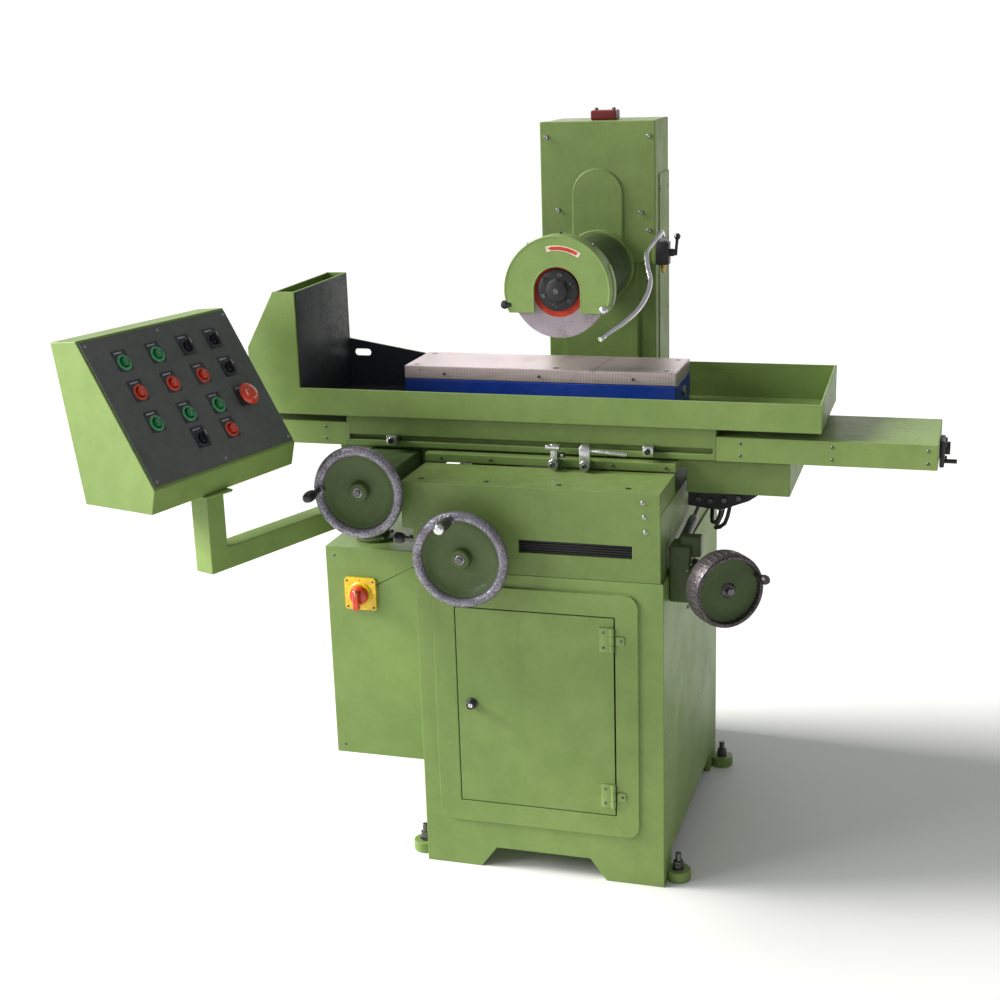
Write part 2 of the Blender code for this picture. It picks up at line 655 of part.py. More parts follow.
# ------------------------------------------------------------------- saddle
def make_saddle(on):
    """Cross slide: a plate with a wing past each side of the bed."""
    plate_bottom = APRON_TOP + 0.0015
    saddle = box("saddle", (SADDLE_X0, WING_FRONT, plate_bottom), (SADDLE_X1, SADDLE_BACK, SADDLE_TOP))
    nose = box("saddle_nose", (-APRON_LEFT, SADDLE_FRONT, plate_bottom),
               (BED_WIDTH, WING_FRONT + 0.01, SADDLE_TOP))
    left = box("left_wing", (SADDLE_X0, WING_FRONT, WING_BOTTOM),
               (-APRON_LEFT - WING_GAP, SADDLE_BACK, SADDLE_TOP))
    right = box("right_wing", (BED_WIDTH + WING_GAP, WING_FRONT, WING_BOTTOM),
                (SADDLE_X1, SADDLE_BACK, SADDLE_TOP))
    joined(saddle, nose, left, right)
    for x in (LEFT_WAY_X, RIGHT_WAY_X):
        joined(saddle, box("runner", (x - RUNNER_WIDTH / 2, RUNNER_START, BED_TOP + RUN),
                           (x + RUNNER_WIDTH / 2, SADDLE_BACK, SADDLE_TOP - 0.005)))
    nut = box("cross_nut", (CROSS_X - NUT_WIDTH / 2, NUT_Y0, CROSS_Z - NUT_WIDTH / 2),
              (CROSS_X + NUT_WIDTH / 2, NUT_Y0 + NUT_LENGTH, SADDLE_TOP - 0.005))
    joined(saddle, nut)
    hollow_left = box("hollow_left", (SADDLE_X0 + WING_SHELL, WING_FRONT + WING_SHELL, WING_BOTTOM - OVER),
                      (-APRON_LEFT - WING_GAP - WING_SHELL, SADDLE_BACK - WING_SHELL, plate_bottom))
    hollow_right = box("hollow_right", (BED_WIDTH + WING_GAP + WING_SHELL, WING_FRONT + WING_SHELL,
                                        WING_BOTTOM - OVER),
                       (SADDLE_X1 - WING_SHELL, SADDLE_BACK - WING_SHELL, plate_bottom))
    bore = rod("nut_bore", SCREW_RADIUS + GAP, (CROSS_X, NUT_Y0 - OVER, CROSS_Z),
               (CROSS_X, NUT_Y0 + NUT_LENGTH + OVER, CROSS_Z), 24)
    grooves = [plate("way_groove", way_outline(x, GAP, RUN), SADDLE_BACK - RUNNER_START + 4 * OVER,
                     UPRIGHT, (0, (RUNNER_START + SADDLE_BACK) / 2, 0))
               for x in (LEFT_WAY_X, RIGHT_WAY_X)]
    cut(saddle, hollow_left, hollow_right, bore, *grooves)
    return finish(saddle, GREEN, on)


def make_traverse_gearbox(on):
    """Rack gearbox of the table handwheel, on the saddle's left wing."""
    case = box("traverse_gearbox", (TRAVERSE_X - 0.060, TRAVERSE_FACE, TRAVERSE_Z - 0.053),
               (TRAVERSE_X + 0.058, WING_FRONT - GAP, SADDLE_TOP - 0.002), 0.006)
    boss = rod("gearbox_boss", 0.026, (TRAVERSE_X, TRAVERSE_FACE - 0.008, TRAVERSE_Z),
               (TRAVERSE_X, TRAVERSE_FACE + 0.01, TRAVERSE_Z), 28)
    joined(case, boss)
    return finish(case, DARK_GREEN, on)


def make_cylinder(on):
    """Table cylinder, open at its right end for the rod."""
    barrel = rod("table_cylinder", CYLINDER_RADIUS, (CYLINDER_X0, CYLINDER_Y, CYLINDER_Z),
                 (CYLINDER_X1, CYLINDER_Y, CYLINDER_Z), 28)
    bore = rod("cylinder_bore", CYLINDER_BORE, (CYLINDER_X0 + 0.008, CYLINDER_Y, CYLINDER_Z),
               (CYLINDER_X1 - 0.012, CYLINDER_Y, CYLINDER_Z), 28)
    gland = rod("gland", ROD_RADIUS + GAP, (CYLINDER_X1 - 0.03, CYLINDER_Y, CYLINDER_Z),
                (CYLINDER_X1 + OVER, CYLINDER_Y, CYLINDER_Z), 28)
    feet = [box("cylinder_foot", (x, CYLINDER_Y - 0.014, SADDLE_TOP + GAP),
                (x + 0.03, CYLINDER_Y + 0.014, CYLINDER_Z - CYLINDER_BORE - 0.001))
            for x in (CYLINDER_X0 + 0.01, CYLINDER_X1 - 0.04)]
    joined(barrel, *feet)
    cut(barrel, bore, gland)
    return finish(barrel, STEEL, on)


def make_valve(on):
    """Reversing valve under the right wing, its manifold up inside the wing."""
    top = WING_BOTTOM - GAP
    x0 = BED_WIDTH + WING_GAP + 0.002
    outline = [(x0, top), (x0, top - 0.0296), (x0 + 0.044, top - 0.0356), (x0 + 0.074, top - 0.0346),
               (x0 + 0.124, top - 0.0156), (x0 + 0.146, top)]
    block = plate("reversing_valve", outline, 0.080, UPRIGHT, (0, VALVE_Y, 0))
    manifold = box("manifold", (x0 + WING_SHELL - RUN, VALVE_Y + 0.025, WING_BOTTOM - 0.009),
                   (x0 + 0.086, VALVE_Y + 0.155, WING_BOTTOM + 0.026))
    joined(block, manifold)
    return finish(block, BLACK, on)


# each hose's points, measured from the bed's right side, the valve's middle and the wing's underside
HOSE_ROUTES = {
    "hose_left": [(0.078, -0.010, -0.0370), (0.078, -0.010, -0.044), (0.078, -0.010, -0.051),
                  (0.068, 0.010, -0.076), (0.052, 0.045, -0.088), (0.046, 0.083, -0.072),
                  (0.046, 0.102, -0.037), (0.046, 0.105, -0.0225), (0.046, 0.105, -0.0165),
                  (0.046, 0.105, -0.0104)],
    "hose_right": [(0.092, 0.017, -0.0370), (0.092, 0.017, -0.044), (0.092, 0.017, -0.051),
                   (0.080, 0.035, -0.088), (0.056, 0.065, -0.108), (0.062, 0.105, -0.092),
                   (0.070, 0.127, -0.044), (0.070, 0.131, -0.0225), (0.070, 0.131, -0.0165),
                   (0.070, 0.131, -0.0104)],
}


def make_hose(name, radius, on):
    """Short hydraulic hose from the valve's front down and back up to its rear."""
    start = Vector((BED_WIDTH, VALVE_Y, WING_BOTTOM))
    hose = pipe(name, smooth_route([start + Vector(p) for p in HOSE_ROUTES[name]], 2), radius, 2)
    return finish(hose, RUBBER, on)


def make_clamp_lever(on):
    """Saddle clamp on the bed's right side: a thin rod with a grip that points forward."""
    x, y, z = CLAMP_AT
    grip_back = Vector((x - 0.001, y - 0.068, z - 0.0145))
    tip = Vector((x - 0.0028, y - 0.210, z - 0.0305))
    lever = rod("clamp_lever", 0.0105, grip_back, tip, 20)
    stem = rod("lever_stem", 0.0045, CLAMP_AT, grip_back + (tip - grip_back) * 0.2, 14)
    pivot = rod("lever_pivot", 0.0085, (BED_WIDTH + GAP, y, z), (x + 0.007, y, z), 18)
    joined(lever, stem, pivot)
    return finish(lever, BLACK, on)


def make_reverse_lever(on):
    """Reversing lever that the table dogs push, with a forked top."""
    x, y, z = REVERSE_AT
    lever = rod("reverse_lever", 0.0075, (x, y, z + 0.003), (x, y, z + 0.039), 20)
    boss = rod("reverse_boss", 0.011, (x, y - 0.012, z), (x, SADDLE_FRONT - GAP, z), 24)
    head = box("fork_head", (x - 0.016, y - 0.0085, z + 0.030), (x + 0.013, y + 0.0065, z + 0.042))
    arm = box("fork_arm", (x + 0.003, y - 0.0045, z + 0.0145), (x + 0.024, y + 0.0035, z + 0.0235))
    joined(lever, boss, head, arm)
    return finish(lever, CHROME, on)


def make_stop_lever(on):
    """Table stop lever with its long bright handle to the right."""
    x, y, z = STOP_AT
    lever = box("stop_lever", (x - 0.013, y - 0.008, z), (x + 0.011, y + 0.007, z + 0.040), 0.003)
    boss = rod("stop_boss", 0.011, (x, y - 0.012, z), (x, SADDLE_FRONT - GAP, z), 24)
    handle = rod("stop_handle", 0.0045, (x, y, z + 0.030), (x + 0.088, y - 0.004, z + 0.026), 16)
    joined(lever, boss, handle)
    return finish(lever, CHROME, on)


# -------------------------------------------------------------------- table
def make_table(on):
    """Table casting with the dog groove, and a channel for the cylinder."""
    table = box("table", (TABLE_X0, TABLE_FRONT, TABLE_BOTTOM), (TABLE_X1, TABLE_BACK, TABLE_TOP))
    for y in STRIP_Y:
        joined(table, box("table_strip", (TABLE_X0 + 0.01, y, SADDLE_TOP + GAP),
                          (TABLE_X1 - 0.01, y + STRIP_WIDTH, TABLE_BOTTOM + 0.005)))
    mouth = box("groove_mouth", (TABLE_X0 + 0.006, TABLE_FRONT - OVER, GROOVE_Z - GROOVE_MOUTH),
                (TABLE_X1 - 0.006, TABLE_FRONT + GROOVE_DEPTH, GROOVE_Z + GROOVE_MOUTH))
    throat = box("groove_throat", (TABLE_X0 + 0.006, TABLE_FRONT + GROOVE_LIP, GROOVE_Z - GROOVE_THROAT),
                 (TABLE_X1 - 0.006, TABLE_FRONT + GROOVE_DEPTH, GROOVE_Z + GROOVE_THROAT))
    half = CYLINDER_RADIUS + 0.004
    channel = box("cylinder_channel", (TABLE_X0 - OVER, CYLINDER_Y - half, TABLE_BOTTOM - OVER),
                  (TABLE_X1 + OVER, CYLINDER_Y + half, CYLINDER_Z + half))
    cut(table, mouth, throat, channel)
    return finish(table, GREEN, on)


def make_dog(name, x, on):
    """Trip dog that clamps in the table's groove."""
    y = TABLE_FRONT
    dog = box(name, (x - 0.011, y - 0.022, GROOVE_Z - 0.011), (x + 0.011, y - GAP, GROOVE_Z + 0.011), 0.002)
    neck = box("dog_neck", (x - 0.008, y - 0.002, GROOVE_Z - GROOVE_MOUTH + GAP),
               (x + 0.008, y + GROOVE_LIP + 0.004, GROOVE_Z + GROOVE_MOUTH - GAP))
    foot = box("dog_foot", (x - 0.010, y + GROOVE_LIP + GAP, GROOVE_Z - GROOVE_THROAT + GAP),
               (x + 0.010, y + GROOVE_DEPTH - GAP, GROOVE_Z + GROOVE_THROAT - GAP))
    screw = rod("dog_screw", 0.006, (x, y - 0.026, GROOVE_Z), (x, y - 0.020, GROOVE_Z), 18)
    joined(dog, neck, foot, screw)
    return finish(dog, CHROME, on)


def make_tray(on):
    """Coolant tray round the chuck with the tall splash guard at its left end."""
    floor = TABLE_TOP + GAP
    sheet = TRAY_SHEET
    y0, y1 = TRAY_FRONT + STEP, TRAY_BACK - STEP
    base = floor + STEP
    top = GUARD_WALL_TOP
    tray = box("tray", (TRAY_X0 + STEP, y0, floor), (TRAY_X1 - STEP, y1, floor + sheet))
    front = [(TRAY_X0, base), (TRAY_X1, base), (TRAY_X1, LIP_TOP), (GUARD_WALL_X, LIP_TOP),
             (GUARD_WALL_X, top), (GUARD_TOP_X, top), (TRAY_X0, GUARD_SHOULDER_Z)]
    rear = [(TRAY_X0, base), (TRAY_X1, base), (TRAY_X1, REAR_WALL_TOP), (GUSSET_X, REAR_WALL_TOP),
            (GUARD_WALL_X, REAR_WALL_TOP + GUSSET_STEP), (GUARD_WALL_X, top),
            (GUARD_TOP_X, top), (TRAY_X0, GUARD_SHOULDER_Z)]
    end = [(y0, base + STEP), (y1, base + STEP), (y1, REAR_WALL_TOP - STEP), (y0, LIP_TOP - STEP)]
    along_y = Matrix.Rotation(math.radians(90), 4, "Z") @ UPRIGHT
    shoulder = plate("guard_slant", [(TRAY_X0 + STEP, GUARD_SHOULDER_Z - 0.004),
                                     (TRAY_X0 + STEP + sheet, GUARD_SHOULDER_Z - 0.004),
                                     (GUARD_TOP_X + STEP + sheet, top - STEP), (GUARD_TOP_X + STEP, top - STEP)],
                     y1 - y0, UPRIGHT, (0, (y0 + y1) / 2, 0))
    joined(tray,
           plate("tray_front", front, sheet, UPRIGHT, (0, TRAY_FRONT + sheet / 2, 0)),
           plate("tray_rear", rear, sheet, UPRIGHT, (0, TRAY_BACK - sheet / 2, 0)),
           plate("tray_end", end, sheet, along_y, (TRAY_X1 - STEP - sheet / 2, 0, 0)),
           box("guard_end", (TRAY_X0 + 2 * STEP, y0 + STEP, base),
               (TRAY_X0 + 2 * STEP + sheet, y1 - STEP, GUARD_SHOULDER_Z + 0.002)),
           box("guard_inner", (GUARD_WALL_X - STEP - sheet, y0 + STEP, base),
               (GUARD_WALL_X - STEP, y1 - STEP, top - STEP)),
           shoulder)
    hole = plate("guard_hole", rounded((GUARD_WALL_X + 0.012, REAR_WALL_TOP - 0.006),
                                       (GUARD_WALL_X + 0.052, REAR_WALL_TOP + 0.010), 0.0078),
                 4 * OVER, UPRIGHT, (0, TRAY_BACK, 0))
    cut(tray, hole)
    return finish(tray, GREEN, on)


def make_chuck(on):
    """Magnetic chuck: painted body with the slotted steel face on top."""
    x1 = CHUCK_X0 + CHUCK_LENGTH
    back = CHUCK_FRONT + CHUCK_DEPTH
    bottom = TABLE_TOP + TRAY_SHEET + 2 * GAP
    base = box("chuck_base", (CHUCK_X0, CHUCK_FRONT, bottom), (x1, back, CHUCK_BASE_TOP), 0.002)
    face = box("chuck_face", (CHUCK_X0, CHUCK_FRONT, CHUCK_BASE_TOP + GAP), (x1, back, CHUCK_TOP), 0.0015)
    finish(base, BLUE, on)
    return finish(face, STEEL, on)


def make_cover(name, x_table, outwards, on):
    """Way cover past one end of the table, open below and towards the table."""
    near = x_table + outwards * GAP
    far = x_table + outwards * COVER_REACH
    low, high = min(near, far), max(near, far)
    cover = box(name, (low, TABLE_FRONT, TABLE_BOTTOM), (high, COVER_BACK, COVER_TOP))
    inner_far = far - outwards * COVER_SHELL
    inner_near = near - outwards * OVER
    room = box("cover_room", (min(inner_far, inner_near), TABLE_FRONT + COVER_SHELL, TABLE_BOTTOM - OVER),
               (max(inner_far, inner_near), COVER_BACK - COVER_SHELL, COVER_TOP - COVER_SHELL))
    rod_hole = rod("rod_hole", ROD_RADIUS + RUN, (far - 0.02, CYLINDER_Y, CYLINDER_Z),
                   (far + 0.02, CYLINDER_Y, CYLINDER_Z))
    cut(cover, room, rod_hole)
    return finish(cover, GREEN, on)


def make_piston_rod(on):
    """Piston and rod, held to the table by the bracket at the right cover's end."""
    end = TABLE_X1 + COVER_REACH
    middle = (CYLINDER_X0 + CYLINDER_X1) / 2
    y, z = CYLINDER_Y, CYLINDER_Z
    bar = rod("piston_rod", ROD_RADIUS, (middle, y, z), (end + 0.004, y, z), 24)
    piston = rod("piston", CYLINDER_BORE - GAP, (middle - PISTON_LENGTH / 2, y, z),
                 (middle + PISTON_LENGTH / 2, y, z), 28)
    bracket = box("rod_bracket", (end + GAP, y - 0.030, z - 0.034), (end + 0.010, y + 0.030, z + 0.020), 0.003)
    head = rod("rod_head", 0.013, (end + 0.008, y, z), (end + 0.020, y, z), 20)
    pin = rod("rod_pin", 0.0045, (end + 0.006, y - 0.012, z - 0.024), (end + 0.034, y - 0.012, z - 0.024), 14)
    joined(bar, piston, bracket, head, pin)
    return finish(bar, BLACK, on)


# --------------------------------------------------------- column and head
def make_column(on):
    """Hollow column with the head's way in front and a cover strip on its right."""
    x0, x1 = COLUMN_X0, COLUMN_X0 + COLUMN_WIDTH
    bottom = SEAT_TOP + GAP
    column = box("column", (x0 + 0.004, COLUMN_FRONT, bottom), (x1 - 0.004, COLUMN_BACK, COLUMN_TOP), 0.002)
    middle = COLUMN_MIDDLE
    way = box("column_way", (middle - COLUMN_WAY_WIDTH / 2, COLUMN_FRONT - COLUMN_WAY_DEPTH, bottom),
              (middle + COLUMN_WAY_WIDTH / 2, COLUMN_FRONT + 0.002, COLUMN_TOP - 0.004))
    strip = box("side_strip", (x1 - 0.006, COLUMN_FRONT + 0.030, bottom),
                (x1 - 0.004 + SIDE_STRIP, COLUMN_BACK - 0.004, STRIP_TOP))
    joined(column, way, strip)
    room = box("column_room", (x0 + COLUMN_WALL, COLUMN_FRONT + COLUMN_WALL, bottom - OVER),
               (x1 - COLUMN_WALL, COLUMN_BACK - COLUMN_WALL, COLUMN_TOP - COLUMN_WALL))
    slot = box("nut_slot_front", (middle - NUT_SLOT_WIDTH / 2, COLUMN_FRONT - 0.03, SLIDE_BOTTOM - 0.10),
               (middle + NUT_SLOT_WIDTH / 2, COLUMN_FRONT + COLUMN_WALL + OVER, COLUMN_TOP - 0.03))
    cap_hole = rod("cap_hole", SCREW_RADIUS + RUN, (COLUMN_MIDDLE, LIFT_Y, COLUMN_TOP - 0.03),
                   (COLUMN_MIDDLE, LIFT_Y, COLUMN_TOP + OVER), 24)
    cut(column, room, slot, cap_hole)
    return finish(column, GREEN, on)


def make_lift_screw(on):
    """Elevating screw inside the column."""
    x, y = COLUMN_MIDDLE, LIFT_Y
    screw = rod("lift_screw", SCREW_RADIUS, (x, y, SEAT_TOP - 0.020), (x, y, COLUMN_TOP - 0.004), 24)
    return finish(screw, STEEL, on)


def make_column_cap(on):
    """Bearing cap of the elevating screw on the column's top."""
    x, y, z = COLUMN_MIDDLE, LIFT_Y, COLUMN_TOP + GAP
    cap = box("column_cap", (x - 0.029, y - 0.022, z), (x + 0.029, y + 0.022, z + 0.021), 0.003)
    return finish(cap, ((0.16, 0.02, 0.02), 0.4, 0.0), on)


def make_head_slide(on):
    """Head slide: the long front plate with its arched rib, and the lift nut."""
    x0, x1 = COLUMN_X0 - 0.001, COLUMN_X0 + COLUMN_WIDTH + 0.001
    middle = COLUMN_MIDDLE
    back = SLIDE_FRONT + SLIDE_THICKNESS
    slide = box("head_slide", (x0, SLIDE_FRONT, SLIDE_BOTTOM), (x1, back, SLIDE_TOP), 0.002)
    rib_top = SLIDE_BOTTOM + 0.150
    rib = plate("arch_rib", [(middle - 0.057, SLIDE_BOTTOM + 0.01), (middle + 0.057, SLIDE_BOTTOM + 0.01)]
                + arc((middle, rib_top), 0.057, 0, 180, 12),
                0.012, UPRIGHT, (0, SLIDE_FRONT + 0.001, 0))
    ring = rod("nose_ring", MOTOR_RADIUS + 0.006, (middle, SLIDE_FRONT - 0.010, SPINDLE_Z),
               (middle, SLIDE_FRONT + 0.004, SPINDLE_Z), 40)
    nut = box("lift_nut", (middle - 0.020, back - 0.02, SLIDE_BOTTOM + 0.06),
              (middle + 0.020, LIFT_Y + 0.022, SLIDE_BOTTOM + 0.10))
    tap = box("coolant_block", (x1 - 0.006, SLIDE_FRONT - 0.008, SLIDE_BOTTOM - 0.004),
              (x1 + 0.030, SLIDE_FRONT + 0.018, SLIDE_BOTTOM + 0.046), 0.003)
    groove = box("slide_groove", (middle - COLUMN_WAY_WIDTH / 2 - RUN,
                                  COLUMN_FRONT - COLUMN_WAY_DEPTH - RUN, SLIDE_BOTTOM - 2 * OVER),
                 (middle + COLUMN_WAY_WIDTH / 2 + RUN, back + OVER, SLIDE_TOP + OVER))
    cut(slide, groove)
    joined(slide, ring, rib, nut, tap)
    bore = rod("lift_bore", SCREW_RADIUS + GAP, (COLUMN_MIDDLE, LIFT_Y, SLIDE_BOTTOM),
               (COLUMN_MIDDLE, LIFT_Y, SLIDE_BOTTOM + 0.2), 24)
    cut(slide, bore)
    return finish(slide, GREEN, on)


def make_spindle_motor(on):
    """Motor that drives the spindle, bolted to the head slide's front."""
    front = SLIDE_FRONT - 0.010 - GAP
    x, z = COLUMN_MIDDLE, SPINDLE_Z
    motor = rod("spindle_motor", MOTOR_RADIUS, (x, MOTOR_START, z), (x, front, z), 40)
    round_edges(motor, 0.006, 3)
    bore = rod("motor_bore", SHAFT_RADIUS + RUN, (x, MOTOR_START - OVER, z), (x, front - 0.02, z), 28)
    cut(motor, bore)
    return finish(motor, DARK_GREEN, on)


def make_spindle_housing(on):
    """Bearing housing of the spindle, between the motor and the wheel guard."""
    x, z = COLUMN_MIDDLE, SPINDLE_Z
    length = MOTOR_START - GAP - HOUSING_START
    housing = turned("spindle_housing", [(0, length), (HOUSING_RADIUS * 0.8, length),
                                         (HOUSING_RADIUS, length - 0.012),
                                         (HOUSING_RADIUS, 0.012), (HOUSING_RADIUS + 0.008, 0.010),
                                         (HOUSING_RADIUS + 0.008, 0), (0, 0)],
                     (x, MOTOR_START - GAP, z), (0, -1, 0), 32)
    bore = rod("housing_bore", SHAFT_RADIUS + RUN, (x, HOUSING_START - OVER, z),
               (x, MOTOR_START + OVER, z), 28)
    cut(housing, bore)
    return finish(housing, DARK_GREEN, on)


def make_wheel_guard(on):
    """Guard round the wheel's upper half, open below, with the window in front."""
    x, z = COLUMN_MIDDLE, SPINDLE_Z
    front = WHEEL_Y - GUARD_WIDTH / 2
    back = WHEEL_Y + GUARD_WIDTH / 2
    radius, inner = GUARD_RADIUS, GUARD_RADIUS - GUARD_WALL
    guard = rod("wheel_guard", radius, (x, front, z), (x, back, z), 48)
    edge = radius * 0.91
    joined(guard,
           rod("guard_boss", 0.009, (x - edge, front + 0.003, z - 0.030),
               (x - edge - 0.016, front + 0.003, z - 0.030), 18),
           rod("guard_knob", 0.010, (x + edge - 0.004, front - 0.006, z - 0.038),
               (x + edge - 0.004, front + 0.004, z - 0.038), 18))
    below = box("guard_below", (x - 2 * radius, front - OVER, z - 2 * radius),
                (x + 2 * radius, back + OVER, z - GUARD_DROP))
    space = rod("guard_space", inner, (x, front + GUARD_WALL, z), (x, back - GUARD_WALL, z), 48)
    mouth = box("guard_mouth", (x - inner, front + GUARD_WALL, z - 2 * radius),
                (x + inner, back - GUARD_WALL, z - GUARD_DROP * 0.6))
    window = rod("guard_window", GUARD_WINDOW, (x, front - OVER, z), (x, front + GUARD_WALL + 0.002, z), 40)
    window_low = box("window_low", (x - GUARD_WINDOW, front - OVER, z - 2 * radius),
                     (x + GUARD_WINDOW, front + GUARD_WALL + 0.002, z))
    hole = rod("guard_hole_back", 0.034, (x, back - GUARD_WALL - OVER, z), (x, back + OVER, z), 32)
    cut(guard, space, mouth, window, window_low, hole, below)
    return finish(guard, GREEN, on)


def make_spindle(on):
    """Spindle with the wheel's two flanges and its nut."""
    x, z = COLUMN_MIDDLE, SPINDLE_Z
    half = WHEEL_WIDTH / 2
    tail = SLIDE_FRONT - 0.010 - GAP - 0.024 - WHEEL_Y
    spindle = turned("spindle", [(0, 0.034), (0.014, 0.034), (0.015, 0.032), (0.024, 0.030),
                                 (0.024, half + 0.010), (0.043, half + 0.008), (0.043, half + GAP),
                                 (WHEEL_BORE - GAP, half + GAP), (WHEEL_BORE - GAP, -half - GAP),
                                 (0.043, -half - GAP), (0.043, -half - 0.006),
                                 (SHAFT_RADIUS, -half - 0.008), (SHAFT_RADIUS, -tail), (0, -tail)],
                     (x, WHEEL_Y, z), (0, -1, 0), 28)
    return finish(spindle, STEEL, on)


def make_grinding_wheel(on):
    """The abrasive wheel, bored for the spindle's arbor."""
    x, z = COLUMN_MIDDLE, SPINDLE_Z
    half = WHEEL_WIDTH / 2
    wheel = rod("grinding_wheel", WHEEL_RADIUS, (x, WHEEL_Y - half, z), (x, WHEEL_Y + half, z), 64)
    cut(wheel, rod("wheel_bore", WHEEL_BORE, (x, WHEEL_Y - 2 * half, z), (x, WHEEL_Y + 2 * half, z), 32))
    return finish(wheel, ABRASIVE, on)


# the coolant pipe's points: past the slide's right side, share of the way from the slide
# to the wheel, and height over the spindle
COOLANT_ROUTE = [
    (0.016, 0.0000, 0.0562), (0.016, 0.0000, 0.0620), (0.016, 0.0000, 0.0678),
    (0.015, 0.0320, 0.0760), (0.008, 0.1424, 0.0630), (0.000, 0.2820, 0.0430),
    (0.010, 0.4041, 0.0170), (0.023, 0.5058, -0.0090), (0.020, 0.6017, -0.0370),
    (0.007, 0.6977, -0.0610), (-0.015, 0.7936, -0.0810), (-0.034, 0.8895, -0.0940),
    (-0.049, 0.9738, -0.1050),
]


def coolant_points():
    """The coolant pipe's points in the machine frame."""
    return [Vector((COLUMN_X0 + COLUMN_WIDTH + u, SLIDE_FRONT + 0.005 - share * (SLIDE_FRONT - WHEEL_Y),
                    SPINDLE_Z + rise)) for u, share, rise in COOLANT_ROUTE]


def make_coolant_pipe(on):
    """Bent coolant pipe from its block to the wheel's right side."""
    tube = pipe("coolant_pipe", smooth_route(coolant_points(), 3), 0.0055, 3)
    return finish(tube, CHROME, on)


# ------------------------------------------------------ elevating handwheel
def elevate_axis():
    """Unit vector from the gearbox towards the operator, along the wheel's axis."""
    return Vector((math.sin(ELEVATE_HEADING), -math.cos(ELEVATE_HEADING), 0))


def make_elevating_gearbox(on):
    """Bevel gearbox on the pedestal's right side with its bearing collar."""
    axis = elevate_axis()
    root = ELEVATE_HUB - axis * (ELEVATE_STEM + 0.006)
    x0 = PEDESTAL_WIDTH + GAP
    case = box("elevating_gearbox", (x0, root.y - 0.040, root.z - 0.059), (x0 + 0.044, root.y + 0.014, root.z + 0.059), 0.004)
    collar = rod("elevating_collar", 0.024, root, ELEVATE_HUB - axis * 0.060, 28)
    switch = box("limit_block", (x0 + 0.020, root.y - 0.032, root.z + 0.035), (x0 + 0.062, root.y - 0.006, root.z + 0.077), 0.003)
    joined(case, collar, switch)
    return finish(case, DARK_GREEN, on)


def make_elevating_wheel(on):
    """Deep drum handwheel with a short crank knob; local +Z at the operator."""
    r = ELEVATE_RADIUS
    profile = [(0, 0.004), (0.008, 0.004), (0.010, 0), (0.013, -0.003), (0.020, -0.010),
               (r - 0.012, -0.012), (r - 0.008, -0.002), (r - 0.003, 0), (r, -0.004),
               (r, -0.046), (r - 0.006, -0.050), (r - 0.012, -0.048), (r - 0.016, -0.030),
               (0.026, -0.026), (0.022, -0.058), (0, -0.058)]
    wheel = turned("handwheel_elevate", profile, (0, 0, 0), (0, 0, 1), 34)
    angle = math.radians(22)
    u, v = (r - 0.010) * math.cos(angle), (r - 0.010) * math.sin(angle)
    knob = turned("elevate_crank", [(0, 0.036), (0.006, 0.035), (0.009, 0.028), (0.007, 0.016),
                                    (0.004, 0.012), (0.004, -0.008), (0, -0.008)],
                  (u, v, 0), (0, 0, 1), 14)
    joined(wheel, knob)
    return finish(wheel, GREEN, on, local=True)


# ------------------------------------------------------------------ cabinet
def make_cabinet(on):
    """Electrical cabinet on the pedestal's left side, its door opening on the left."""
    x1 = -GAP
    x0 = x1 - CABINET_WIDTH
    s, m = CABINET_SHEET, CABINET_DOOR_MARGIN
    case = box("electrical_cabinet", (x0, CABINET_FRONT, CABINET_BOTTOM), (x1, CABINET_BACK, CABINET_TOP))
    room = box("cabinet_room", (x0 + s, CABINET_FRONT + s, CABINET_BOTTOM + s),
               (x1 - s, CABINET_BACK - s, CABINET_TOP - s))
    opening = box("cabinet_opening", (x0 - OVER, CABINET_FRONT + m, CABINET_BOTTOM + m),
                  (x0 + s + OVER, CABINET_BACK - m, CABINET_TOP - m))
    shaft_hole = rod("switch_hole", 0.005, (SWITCH_X, CABINET_FRONT - OVER, SWITCH_Z),
                     (SWITCH_X, CABINET_FRONT + s + OVER, SWITCH_Z), 16)
    cut(case, room, opening, shaft_hole)
    return finish(case, GREEN, on)


def make_cabinet_door(on):
    """Cabinet door, flush in the left side, with its latch handle."""
    x0 = -GAP - CABINET_WIDTH
    m = CABINET_DOOR_MARGIN + DOOR_GAP
    door = box("cabinet_door", (x0, CABINET_FRONT + m, CABINET_BOTTOM + m),
               (x0 + CABINET_SHEET, CABINET_BACK - m, CABINET_TOP - m))
    z = (CABINET_BOTTOM + CABINET_TOP) / 2 + 0.013
    handle = box("cabinet_latch", (x0 - 0.016, CABINET_FRONT + m + 0.010, z - 0.022),
                 (x0 + 0.001, CABINET_FRONT + m + 0.024, z + 0.022), 0.003)
    joined(door, handle)
    return finish(door, GREEN, on)


